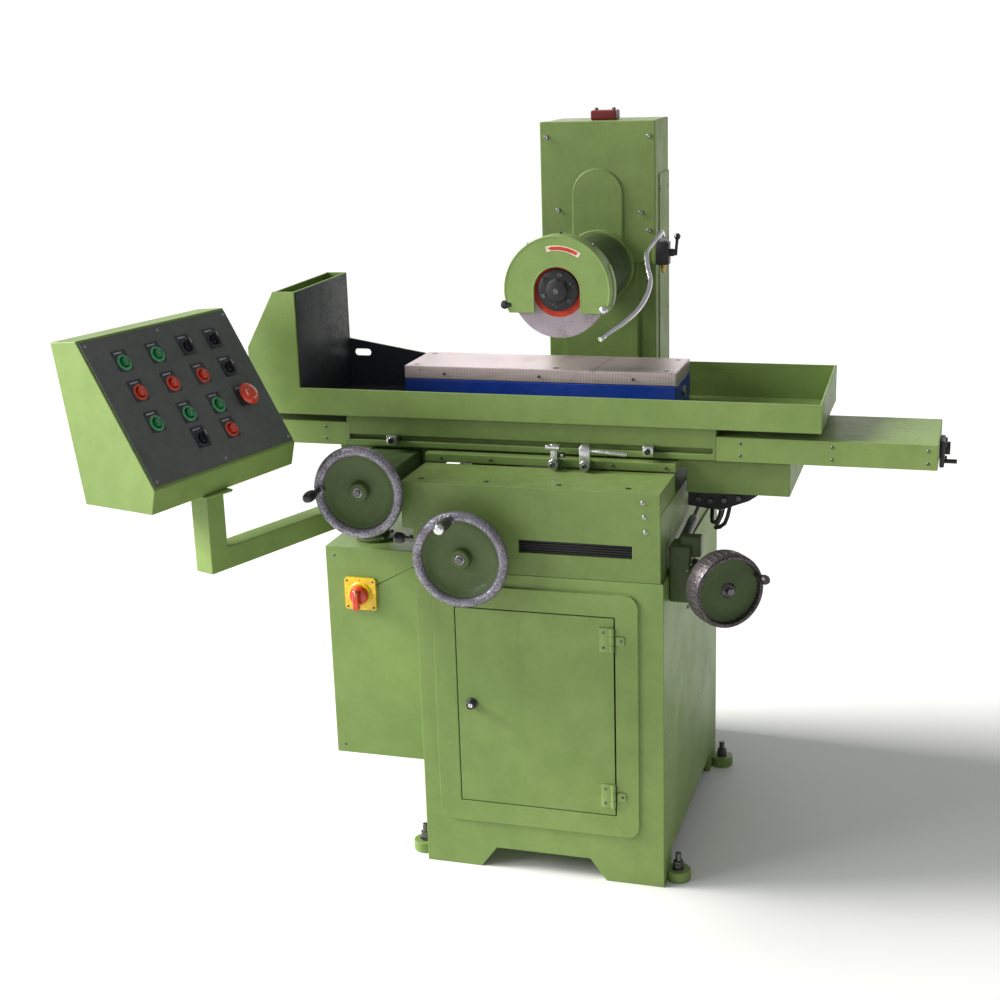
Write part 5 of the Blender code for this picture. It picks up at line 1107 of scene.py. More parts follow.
# ------------------------------------------------------------------------- table
@dataclass
class Table:
    """Table with its coolant tray, splash guard, way covers, dogs and chuck."""

    guard_x: float = -0.305
    wall_front: float = 0.1735
    wall_back: float = 0.4605
    tray_floor: float = 0.9370
    hole: tuple = (0.012, 0.052, 1.005, 1.021)
    groove_z: float = 0.8860
    front: float = 0.176

    def build(self) -> None:
        """Dress the table's own pieces and add the rest."""
        dress("table", CAST_GREEN, 0.0018)
        dress("tray", GREEN, 0.0005)
        dress("way_cover_left", GREEN, 0.0012)
        dress("way_cover_right", GREEN, 0.0012)
        dress("piston_rod", SATIN_BLACK, 0.0006)
        self.dark_sheets_and_shade()
        self.cover_fittings()
        self.chuck()
        for name in ("dog_left", "dog_right"):
            self.dog(name)

    def dark_sheets_and_shade(self) -> None:
        """Dark sheets on the splash guard's inner wall, and painted shade as dark sheets along the tray's
        left rear wall and floor.
        """
        low, high = 0.9376, 1.1925
        dark_sheets_and_shade = Shape("splash_dark_sheets_and_painted_shade")
        # a dark sheet on the splash guard's inner wall
        dark_sheets_and_shade.block(at(self.guard_x + 0.0003, self.wall_front + 0.001, low),
                at(self.guard_x + 0.0019, self.wall_back - 0.001, high),
                    CHARCOAL_SHEETS_AND_SHADE, 0.0003)
        shift = at(0, 0, 0)
        x0, x1, step = self.guard_x + 0.0022, -0.101, 0.034
        outline = [(x0, low), (x1, low), (x1, 1.0102), (x0 + 0.004, 1.0102 + step)]
        outline.append((x0, 1.0102 + step))
        hx0, hx1, hz0, hz1 = self.hole
        hole = rounded((self.guard_x + hx0, hz0), (self.guard_x + hx1, hz1), 0.0078)
        turn = Matrix.Translation((shift.x, shift.y + self.wall_back, 0)) @ ACROSS
        # painted shade: a dark sheet on the tray's rear wall from the guard to the chuck
        dark_sheets_and_shade.cut_out(outline, 0.0014, CHARCOAL_SHEETS_AND_SHADE, turn, [hole], 0.0002)
        # painted shade: a dark sheet on the tray's floor from the guard to the chuck
        dark_sheets_and_shade.block(at(x0, self.wall_front + 0.001, self.tray_floor),
                at(x1, self.wall_back - 0.002, self.tray_floor + 0.0010), CHARCOAL_SHEETS_AND_SHADE, 0.0002)
        dark_sheets_and_shade.done("table", "black")

    def cover_fittings(self) -> None:
        """Screws on the way covers, and the nuts at the rod's bracket."""
        _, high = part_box("way_cover_right")
        low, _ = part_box("way_cover_left")
        trims = Shape("cover_fittings")
        for x, out in ((high.x, -1), (low.x, 1)):
            for inset in (0.018, 0.200, 0.380):
                for z in (0.880, 0.905):
                    place = at(0, self.front, z)
                    place.x = x + out * inset
                    trims.turned([(0, 0.0014), (0.0020, 0.0012), (0.0034, 0.0), (0.0034, -0.0003),
                            (0, -0.0003)],
                                 OILY_STEEL, place + Vector((0, -0.0001, 0)), (0, -1, 0), 20)
        y, z = 0.290, 0.885
        end = high.x + 0.010
        for dy, dz in ((-0.021, 0.012), (0.021, 0.012), (0.021, -0.026)):
            trims.hexagon((end, at(0, y + dy, 0).y, z + dz), (1, 0, 0), 0.0085, 0.004, OILY_STEEL)
        trims.done("table", "screw_steel")

    def chuck(self) -> None:
        """Magnetic chuck: blue body, pole face, stop strip, keyhole and plugs."""
        dress("chuck_base", BLUE, 0.0014)
        dress("chuck_face", POLES, 0.0010)
        low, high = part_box("chuck_face")
        base_low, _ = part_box("chuck_base")
        plugs = Shape("chuck_fittings")
        plugs.turned([(0, 0.0003), (0.0062, 0.0003), (0.0070, 0.0001), (0.0070, -0.0006), (0, -0.0006)],
                SATIN_BLACK,
                     (at(0.230, 0, 0).x, at(0, 0.2885, 0).y, high.z), (0, 0, 1), 32)
        for x in (low.x + 0.022, high.x - 0.022):
            for y in (low.y + 0.020, high.y - 0.020):
                plugs.turned([(0, 0.0002), (0.0058, 0.0002), (0.0064, 0), (0.0064, -0.0006), (0, -0.0006)],
                        OILY_STEEL,
                             (x, y, high.z), (0, 0, 1), 28)
        for x in (low.x + 0.090, low.x + 0.300, high.x - 0.090):
            plugs.screw((x, low.y - 0.0002, low.z + 0.012), (0, -1, 0), 0.0030, OILY_STEEL)
        plugs.turned([(0, 0.0010), (0.0048, 0.0010), (0.0052, 0.0050), (0.0098, 0.0050), (0.0110, 0.0036),
                (0.0110, -0.0004), (0, -0.0004)],
                     TURNED_STEEL, (high.x + 0.0001, (low.y + high.y) / 2, base_low.z + 0.034), (1, 0, 0),
                     36)
        plugs.block((low.x + 0.03, base_low.y - 0.0003, base_low.z + 0.0030),
                (high.x - 0.03, base_low.y + 0.0010, base_low.z + 0.0065),
                    Enamel("enamel_blue_line", srgb(12, 40, 110), 0.35), 0.0006)
        plugs.done("table", "chuck_face")

    def dog(self, name: str) -> None:
        """A trip dog with its clamping knob, in the groove.

        Args:
            name: the CAD node and body.
        """
        low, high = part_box(name)
        x, z = (low.x + high.x) / 2, at(0, 0, self.groove_z).z
        y = at(0, self.front, 0).y
        dog = Shape(f"{name}_clamp")
        dog.block((x - 0.0108, y - 0.0215, z - 0.0108), (x + 0.0108, y - 0.0005, z + 0.0108), CHROME,
                0.0020)
        dog.block((x - 0.0078, y - 0.0020, z - 0.0048), (x + 0.0078, y + 0.0102, z + 0.0048), OILY_STEEL)
        dog.block((x - 0.0098, y + 0.0066, z - 0.0088), (x + 0.0098, y + 0.0134, z + 0.0088), OILY_STEEL)
        dog.turned([(0, 0.0045), (0.0032, 0.0045), (0.0036, 0.0030), (0.0046, 0.0030), (0.0058, 0.0046),
                (0.0062, 0.0036), (0.0062, 0), (0, 0)],
                   BLACK_PLASTIC, (x, y - 0.0213, z), (0, -1, 0), 32)
        dog.done(name, "chrome", [name])


# ------------------------------------------------------------------- column, head
@dataclass
class Column:
    """Column with its red bearing cap, side cover and rear cover."""

    middle: float = 0.2495
    width: float = 0.259

    def build(self) -> None:
        """Dress the casting and add the covers' screws."""
        dress("column", CAST_GREEN, 0.0016)
        dress("column_cap", DARK_RED, 0.0016)
        dress("lift_screw", OILY_STEEL, 0.0004)
        low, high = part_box("column")
        strip = Shape("column_fittings")
        for z in (0.92, 1.08, 1.24, 1.36):
            for y in (low.y + 0.048, high.y - 0.018):
                strip.turned([(0, 0.0016), (0.0024, 0.0014), (0.0040, 0), (0.0040, -0.0004), (0, -0.0004)],
                        OILY_STEEL,
                             (high.x, y, z), (1, 0, 0), 20)
        cap_low, cap_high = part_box("column_cap")
        for x in (cap_low.x + 0.009, cap_high.x - 0.009):
            strip.screw((x, (cap_low.y + cap_high.y) / 2, cap_high.z), (0, 0, 1), 0.0042, OILY_STEEL)
        turn = Matrix.Translation((0, high.y + 0.0004, 0)) @ Matrix.Rotation(math.radians(180), 4,
                "Z") @ ACROSS
        x0, x1, z0, z1 = low.x + 0.026, high.x - 0.026, 0.905, 1.455
        strip.cut_out(rounded((-x1, z0), (-x0, z1), 0.010), 0.0024, PALE_GREEN, turn, bevel=0.0006)
        for x in (x0 + 0.012, x1 - 0.012):
            for k in range(4):
                strip.screw((x, high.y + 0.0028, z0 + 0.014 + (z1 - z0 - 0.028) * k / 3), (0, 1, 0), 0.0038,
                        OILY_STEEL)
        strip.done("machine", "cast_green")


@dataclass
class Head:
    """Wheel head: slide, motor, bearing housing, guard, wheel and spindle."""

    x: float = 0.2495
    z: float = 1.195
    front: float = 0.235
    back: float = 0.285
    radius: float = 0.112
    wall: float = 0.004
    drop: float = 0.046
    window: float = 0.050
    wheel_y: float = 0.260
    wheel_radius: float = 0.100
    wheel_half: float = 0.010
    motor: tuple = (0.4300, 0.5935, 0.075)
    housing: tuple = (0.2870, 0.4296, 0.052)

    def build(self) -> None:
        """Dress the slide and build what it carries."""
        dress("head_slide", CAST_GREEN, 0.0016)
        self.slide_fittings()
        self.guard()
        self.wheel()
        self.spindle()
        self.drive()
        self.pipe()

    def slide_fittings(self) -> None:
        """Screws on the slide's plate."""
        screws = Shape("slide_screws")
        for x, z in ((0.158, 1.320), (0.347, 1.315), (0.134, 1.480), (0.365, 1.480), (0.134, 1.235),
                (0.365, 1.275)):
            screws.screw(at(x, 0.6039, z), (0, -1, 0), 0.0046, STEEL)
        screws.done("head", "steel")

    def guard(self) -> None:
        """Wheel guard: front with its window, back, band, rolled edges, label and knobs."""
        low = math.degrees(math.asin(self.drop / self.radius))
        turn = Matrix.Translation(at(self.x, self.front + self.wall, self.z)) @ ACROSS
        outer = arc((0, 0), self.radius, -low, 180 + low, 72)
        window = [(-self.window, -self.drop), *reversed(arc((0, 0), self.window, 0, 180, 32)),
                (self.window, -self.drop)]
        guard = Shape("wheel_guard_shell")
        guard.cut_out(outer + window, self.wall, PALE_GREEN, turn, bevel=0.0007)
        rear = Matrix.Translation(at(self.x, self.back, self.z)) @ ACROSS
        guard.cut_out(outer, self.wall, GREEN, rear, [circle((0, 0), 0.034)], 0.0007)
        inner = list(reversed(arc((0, 0), self.radius - self.wall, -low, 180 + low, 72)))
        guard.cut_out(outer + inner, self.back - self.front - 0.0008, GREEN,
                      Matrix.Translation(at(self.x, self.back - 0.0004, self.z)) @ ACROSS, bevel=0.0007)
        rim = [at(self.x + u, self.front + 0.0016, self.z + v) for u,
                v in arc((0, 0), self.radius - 0.0016, -low, 180 + low, 90)]
        guard.tube(rim, 0.0024, PALE_GREEN, 14)
        hem = [at(self.x + u, self.front + 0.0014, self.z + v) for u, v in window]
        guard.tube(hem, 0.0018, PALE_GREEN, 12)
        self.label(guard, turn)
        edge = self.radius * 0.91
        guard.turned([(0, 0.018), (0.006, 0.0175), (0.0088, 0.014), (0.0092, 0.008), (0.0062, 0.003),
                (0.0050, -0.004), (0, -0.004)],
                     BLACK_PLASTIC, at(self.x - edge, self.front + 0.003, self.z - 0.030), (-1, 0, 0), 32)
        guard.turned([(0, 0.0100), (0.0045, 0.0092), (0.0080, 0.0062), (0.0095, 0.0015), (0.0080, -0.0040),
                (0.0045, -0.0070), (0, -0.0075)],
                     CHROME, at(self.x + edge - 0.004, self.front - 0.0020, self.z - 0.038), (0, -1, 0), 36)
        strap = [(u, v) for u, v in arc((0, 0), self.radius + 0.0022, -18, 26, 20)]
        strap += [(u, v) for u, v in reversed(arc((0, 0), self.radius - 0.0002, -18, 26, 20))]
        guard.cut_out(strap, 0.020, PALE_GREEN, Matrix.Translation(at(self.x, self.back - 0.004,
                self.z)) @ ACROSS, bevel=0.0005)
        for angle in (52, 90, 128):
            u, v = self.radius * math.cos(math.radians(angle)), self.radius * math.sin(math.radians(angle))
            guard.screw(at(self.x + u, self.back - 0.012, self.z + v), (u, 0, v), 0.0036, OILY_STEEL)
        guard.done("head", "machine_green", ["wheel_guard"])

    def label(self, guard: Shape, turn: Matrix) -> None:
        """A cream band with a red arrow that shows which way the wheel turns.

        Args:
            guard: the shape that it is added to.
            turn: the plane of the guard's front plate.
        """
        lift = turn @ Matrix.Translation((0, 0, self.wall - 0.0002))
        band = arc((0, 0), 0.0925, 56, 104, 24) + list(reversed(arc((0, 0), 0.0815, 56, 104, 24)))
        guard.cut_out(band, 0.0007, CREAM_LABEL, lift, bevel=0.0001)
        arrow = arc((0, 0), 0.0905, 60, 97, 20) + [(-0.0178, 0.0868)] + list(reversed(arc((0, 0), 0.0835,
                60, 97, 20)))
        guard.cut_out(arrow, 0.0010, BLOTTER, lift, bevel=0.0001)

    def wheel(self) -> None:
        """Abrasive wheel with a trued face, and the red paper under its flanges."""
        r, half, bore = self.wheel_radius - 0.0003, self.wheel_half, 0.0160
        centre = at(self.x, self.wheel_y, self.z)
        wheel = Shape("abrasive_wheel", Matrix.Translation(centre) @ ACROSS)
        wheel.turned([(bore, half), (r - 0.0016, half), (r - 0.0004, half - 0.0004), (r, half - 0.0018),
                (r, -half + 0.0018),
                      (r - 0.0004, -half + 0.0004), (r - 0.0016, -half), (bore, -half)], ABRASIVE,
                      sides=128)
        wheel.turned([(0.020, half + 0.0003), (0.0560, half + 0.0003), (0.0560, half - 0.0004),
                (0.020, half - 0.0004)],
                     BLOTTER, sides=96)
        wheel.turned([(0.020, -half + 0.0004), (0.0560, -half + 0.0004), (0.0560, -half - 0.0003),
                (0.020, -half - 0.0003)],
                     BLOTTER, sides=96)
        wheel.done("spindle", "abrasive", ["grinding_wheel"])

    def spindle(self) -> None:
        """Flanges with balancing holes, collar nut and arbor."""
        half = self.wheel_half
        hub = Shape("spindle_flange", Matrix.Translation(at(self.x, self.wheel_y, self.z)) @ ACROSS)
        hub.turned([(0, half + 0.0120), (0.0230, half + 0.0120), (0.0250, half + 0.0100),
                (0.0400, half + 0.0094), (0.0428, half + 0.0080),
                    (0.0428, half + 0.0007), (0.0156, half + 0.0007), (0.0156, -half - 0.0007),
                    (0.0428, -half - 0.0007),
                    (0.0428, -half - 0.0056), (0.0140, -half - 0.0078), (0.0138, -0.308), (0, -0.308)],
                    SATIN_BLACK, sides=72)
        hub.turned([(0, 0.0322), (0.0118, 0.0322), (0.0150, 0.0316), (0.0226, 0.0300), (0.0238, 0.0280),
                (0.0238, 0.0210), (0, 0.0210)],
                   SATIN_BLACK, sides=8)
        hub.turned([(0, 0.0336), (0.0060, 0.0336), (0.0066, 0.0300), (0, 0.0300)], OILY_STEEL, sides=6)
        for k in range(6):
            angle = math.radians(60 * k + 20)
            place = (0.0325 * math.cos(angle), 0.0325 * math.sin(angle), half + 0.0094)
            hub.turned([(0, 0.0004), (0.0026, 0.0004), (0.0034, 0.0016), (0.0048, 0.0016), (0.0054, 0.0006),
                    (0.0054, -0.0010), (0, -0.0010)],
                       OILY_STEEL if k % 2 else SATIN_BLACK, place, (0, 0, 1), 24)
        hub.done("spindle", "steel", ["spindle"])

    def drive(self) -> None:
        """Motor with cooling fins, and the ribbed bearing housing."""
        start, end, r = self.motor
        motor = Shape("motor_body", Matrix.Translation(at(self.x, start,
                self.z)) @ ACROSS @ Matrix.Rotation(math.pi, 4, "X"))
        long = end - start
        profile = [(0.0158, 0), (r - 0.016, 0), (r - 0.008, 0.003), (r - 0.005, 0.010), (r - 0.005, 0.020)]
        fins = 12
        for k in range(fins):
            z = 0.024 + (long - 0.050) * k / fins
            profile += [(r - 0.005, z), (r - 0.0004, z + 0.0016), (r - 0.0004, z + 0.0046),
                    (r - 0.005, z + 0.0062)]
        profile += [(r - 0.003, long - 0.016), (r - 0.0004, long - 0.014), (r - 0.0004, long - 0.001),
                (0.0158, long - 0.001)]
        # painted shade: the motor behind the wheel guard gets the green darkened for shade
        motor.turned(profile, SHADE_DARKENED_GREEN, sides=80)
        for k in range(6):
            angle = math.radians(30 + 60 * k)
            motor.screw(((r - 0.017) * math.cos(angle), (r - 0.017) * math.sin(angle), 0.0006), (0, 0, -1),
                    0.0036, OILY_STEEL)
        motor.done("head", "dark_green", ["spindle_motor"])
        start, end, r = self.housing
        house = Shape("bearing_housing", Matrix.Translation(at(self.x, start,
                self.z)) @ ACROSS @ Matrix.Rotation(math.pi, 4, "X"))
        long = end - start
        # painted shade: the bearing housing behind the wheel guard gets the green darkened for shade
        house.turned([(0.0152, 0.0002), (r + 0.006, 0.0002), (r + 0.0078, 0.0016), (r + 0.0078, 0.0092),
                (r + 0.002, 0.0110), (r - 0.001, 0.0150),
                      (r - 0.001, 0.040), (r - 0.004, 0.043), (r - 0.004, 0.060), (r - 0.001, 0.063),
                      (r - 0.001, long - 0.022),
                      (r * 0.8, long - 0.0004), (0.0152, long - 0.0004)], SHADE_DARKENED_GREEN, sides=72)
        for k in range(6):
            angle = math.radians(60 * k)
            house.screw((r * 0.98 * math.cos(angle), r * 0.98 * math.sin(angle), 0.0008), (0, 0, -1),
                    0.0030, OILY_STEEL)
        house.turned([(0, 0.0120), (0.0048, 0.0112), (0.0056, 0.0080), (0.0040, 0.0070), (0.0040, -0.0020),
                (0, -0.0020)], BRASS,
                     (0, -(r - 0.002), 0.100), (0, -1, 0), 24)
        house.done("head", "dark_green", ["spindle_housing"])

    def pipe(self) -> None:
        """Bent bright coolant pipe with its nozzle, and the black tap that feeds it."""
        across = ((0.016, 0.609, 0.0562), (0.016, 0.609, 0.0620), (0.016, 0.609, 0.0678),
                (0.015, 0.598, 0.0760), (0.008, 0.560, 0.0630),
                  (0.000, 0.512, 0.0430), (0.010, 0.470, 0.0170), (0.023, 0.435, -0.0090),
                  (0.020, 0.402, -0.0370), (0.007, 0.369, -0.0610),
                  (-0.015, 0.336, -0.0810), (-0.034, 0.303, -0.0940), (-0.049, 0.274, -0.1050))
        points = [at(0.379 + x, y, self.z + rise) for x, y, rise in across]
        tube = Shape("coolant_tube")
        tube.tube(smooth_route(points, 8), 0.0055, CHROME, 28)
        heading = (points[-1] - points[-2]).normalized()
        tube.turned([(0.0036, 0.0006), (0.0058, 0.0006), (0.0062, -0.0010), (0.0062, -0.0100),
                (0.0054, -0.0120), (0.0036, -0.0120)], CHROME,
                    points[-1], heading, 36)
        tube.hexagon(points[0] + Vector((0, 0, -0.0004)), (0, 0, 1), 0.0170, 0.0090, STEEL)
        tube.done("coolant_pipe", "chrome", ["coolant_pipe"])
        tap = Shape("coolant_tap")
        tap.block(at(0.3806, 0.5952, 1.1994), at(0.4108, 0.6228, 1.2506), SATIN_BLACK, 0.0030)
        tap.turned([(0, 0), (0.0085, 0), (0.0085, 0.010), (0.0052, 0.012), (0.0052, 0.017), (0, 0.017)],
                SATIN_BLACK,
                   at(0.4104, 0.609, 1.226), (1, 0, 0), 32)
        start, end = at(0.4240, 0.609, 1.226), at(0.4290, 0.604, 1.262)
        tap.bar(start - Vector((0, 0, 0.006)), end, 0.0034, SATIN_BLACK, 20)
        tap.turned([(0, -0.008), (0.0050, -0.006), (0.0075, 0), (0.0050, 0.006), (0, 0.008)], BLACK_PLASTIC,
                end, (0, 0, 1), 28)
        tap.turned([(0, 0), (0.0065, 0), (0.0065, 0.004), (0.0046, 0.005), (0.0052, 0.008), (0.0044, 0.011),
                (0.0050, 0.014), (0.0036, 0.018), (0, 0.018)],
                   BRASS, at(0.396, 0.609, 1.1996), (0, 0, -1), 28)
        tap.done("head", "black")


# -------------------------------------------------------------------- handwheels
class Handle(Enum):
    """Which kind of handle a wheel has."""

    BALL = "ball"
    GRIP = "grip"


@dataclass
class Handwheel:
    """A dished handwheel; its own Z points at the operator."""

    node: str
    joint: str
    radius: float
    hub_length: float
    crank_angle: float
    crank_length: float
    handle: Handle
    rim: float = 0.0105
    web: float = -0.018

    def build(self) -> None:
        """Rim, painted dish, hub with its nut, dial and handle."""
        wheel = Shape(f"{self.node}_wheel", Matrix.Translation(DATUM.joint(self.joint)) @ ACROSS)
        r, rim, web = self.radius, self.rim, self.web
        section = [(r - rim + rim * math.cos(math.radians(a)),
                -0.0065 + rim * math.sin(math.radians(a))) for a in range(0, 360, 20)]
        wheel.turned(section, RIM, sides=96)
        wheel.turned([(0.0185, web + 0.0010), (0.030, web + 0.0008), (r - 3.6 * rim, web + 0.0018),
                (r - 2.6 * rim, web + 0.0060),
                      (r - 2.05 * rim, web + 0.0125), (r - 1.45 * rim, web + 0.0150),
                      (r - 1.2 * rim, web + 0.0080), (r - 1.5 * rim, web - 0.0010),
                      (r - 2.4 * rim, web - 0.0030), (r - 3.4 * rim, web - 0.0070), (0.030, web - 0.0082),
                      (0.0185, web - 0.0084)],
                     WHEEL_GREEN, sides=96)
        wheel.turned([(0, -0.0015), (0.0165, -0.0015), (0.0190, -0.0035), (0.0205, -0.0120), (0.0225, web),
                (0.0215, web - 0.008),
                      (0.0178, web - 0.012), (0.0178, -self.hub_length), (0, -self.hub_length)],
                      WHEEL_GREEN, sides=64)
        wheel.turned([(0, 0.0), (0.0092, 0.0), (0.0098, -0.0006), (0.0098, -0.0018), (0, -0.0018)], STEEL,
                sides=40)
        wheel.hexagon((0, 0, -0.0002), (0, 0, 1), 0.0135, 0.0046, OILY_STEEL)
        self.dial(wheel)
        self.crank(wheel)
        wheel.done(self.node, "wheel_rim", [self.node])

    def dial(self, wheel: Shape) -> None:
        """Graduated collar behind the web."""
        top, low = self.web - 0.0125, max(-self.hub_length + 0.002, self.web - 0.0300)
        r = 0.0285
        wheel.turned([(0.0176, top), (r - 0.001, top), (r, top - 0.001), (r + 0.0006, low + 0.0035),
                (r + 0.0016, low + 0.0025),
                      (r + 0.0016, low + 0.0008), (r + 0.0008, low), (0.0176, low)], TURNED_STEEL, sides=72)
        for k in range(40):
            turn = Matrix.Rotation(2 * math.pi * k / 40, 4, "Z")
            reach = 0.0070 if k % 5 == 0 else 0.0040
            wheel.block((r - 0.0004, -0.00025, top - 0.0012 - reach), (r + 0.0003, 0.00025, top - 0.0012),
                    SATIN_BLACK, 0, turn)

    def crank(self, wheel: Shape) -> None:
        """The turning handle on the rim."""
        reach = self.radius - 0.014
        place = (reach * math.cos(self.crank_angle), reach * math.sin(self.crank_angle), 0.0)
        long = self.crank_length
        wheel.turned([(0, -0.012), (0.0095, -0.012), (0.0100, -0.010), (0.0100, 0.003), (0.0082, 0.005),
                (0, 0.005)], RIM, place, sides=36)
        if self.handle is Handle.BALL:
            wheel.turned([(0, 0.002), (0.0056, 0.004), (0.0052, long * 0.36), (0.0064, long * 0.40),
                    (0.0098, long * 0.50), (0.0112, long * 0.66),
                          (0.0112, long * 0.80), (0.0090, long * 0.94), (0.0045, long * 0.995), (0, long)],
                          BLACK_PLASTIC, place, sides=40)
        else:
            wheel.turned([(0, 0.002), (0.0060, 0.004), (0.0066, 0.010), (0.0090, 0.016),
                    (0.0108, long * 0.42), (0.0112, long * 0.62),
                          (0.0100, long * 0.84), (0, long * 0.84)], BLACK_PLASTIC, place, sides=40)
            wheel.turned([(0, long * 0.82), (0.0096, long * 0.82), (0.0108, long * 0.87),
                    (0.0100, long * 0.95), (0.0062, long - 0.0004), (0, long)],
                         CHROME, place, sides=40)


@dataclass
class ElevatingWheel:
    """Deep drum handwheel on the right with its collar and gearbox."""

    radius: float = 0.0735
    heading: float = math.radians(38.5)
    crank_angle: float = math.radians(22)

    def build(self) -> None:
        """Drum, painted face, nut and knob; and the gearbox behind."""
        # painted shade: the gearbox on the bed's right side gets the green darkened for shade
        dress("elevating_gearbox", SHADE_DARKENED_GREEN, 0.0016)
        axis = Vector((math.sin(self.heading), -math.cos(self.heading), 0))
        hub = DATUM.joint("handwheel_elevate_turn")
        place = Matrix.Translation(hub) @ axis.to_track_quat("Z", "Y").to_matrix().to_4x4()
        r = self.radius
        drum = Shape("elevating_drum", place)
        drum.turned([(r - 0.0085, 0.0000), (r - 0.0045, 0.0006), (r - 0.0012, -0.0012), (r, -0.0050),
                (r, -0.0400), (r - 0.0015, -0.0455),
                     (r - 0.0060, -0.0490), (r - 0.0105, -0.0470), (r - 0.0150, -0.0300),
                     (r - 0.0150, -0.0240), (r - 0.0110, -0.0130)],
                    DARK_RIM, sides=96)
        # painted shade: the drum's painted face, on the machine's right, gets the green darkened for shade
        drum.turned([(0, -0.0106), (0.0200, -0.0106), (0.0300, -0.0126), (r - 0.018, -0.0132),
                (r - 0.0100, -0.0105), (r - 0.0088, -0.0140),
                     (r - 0.0130, -0.0235), (0.026, -0.0255), (0.0222, -0.0300), (0.0222, -0.0575),
                     (0, -0.0575)], SHADE_DARKENED_GREEN, sides=96)
        drum.turned([(0, -0.0040), (0.0105, -0.0040), (0.0125, -0.0060), (0.0160, -0.0110), (0, -0.0110)],
                OILY_STEEL, sides=48)
        drum.hexagon((0, 0, -0.0045), (0, 0, 1), 0.0150, 0.0080, OILY_STEEL)
        for k in range(36):
            turn = Matrix.Rotation(2 * math.pi * k / 36, 4, "Z")
            drum.block((r - 0.0012, -0.0022, -0.0380), (r + 0.0006, 0.0022, -0.0090), DARK_RIM, 0.0006,
                    turn)
        u, v = (r - 0.010) * math.cos(self.crank_angle), (r - 0.010) * math.sin(self.crank_angle)
        drum.turned([(0, -0.006), (0.0052, -0.006), (0.0050, 0.010), (0.0070, 0.014), (0.0092, 0.022),
                (0.0092, 0.030), (0.0064, 0.0352), (0, 0.036)],
                    BLACK_PLASTIC, (u, v, 0), sides=36)
        drum.done("handwheel_elevate", "wheel_rim", ["handwheel_elevate"])
        collar = Shape("gearbox_fittings")
        ring = hub - axis * 0.0610
        collar.turned([(0.0100, 0), (0.0236, 0), (0.0248, -0.0012), (0.0248, -0.0100), (0.0236, -0.0112),
                (0.0100, -0.0112)], TURNED_STEEL, ring,
                      axis, 48)
        low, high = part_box("elevating_gearbox")
        for y in (low.y + 0.008, low.y + 0.046):
            for z in (0.614, 0.690):
                collar.screw((low.x + 0.0441, y, z), (1, 0, 0), 0.0034, OILY_STEEL)
        collar.done("machine", "dark_green")


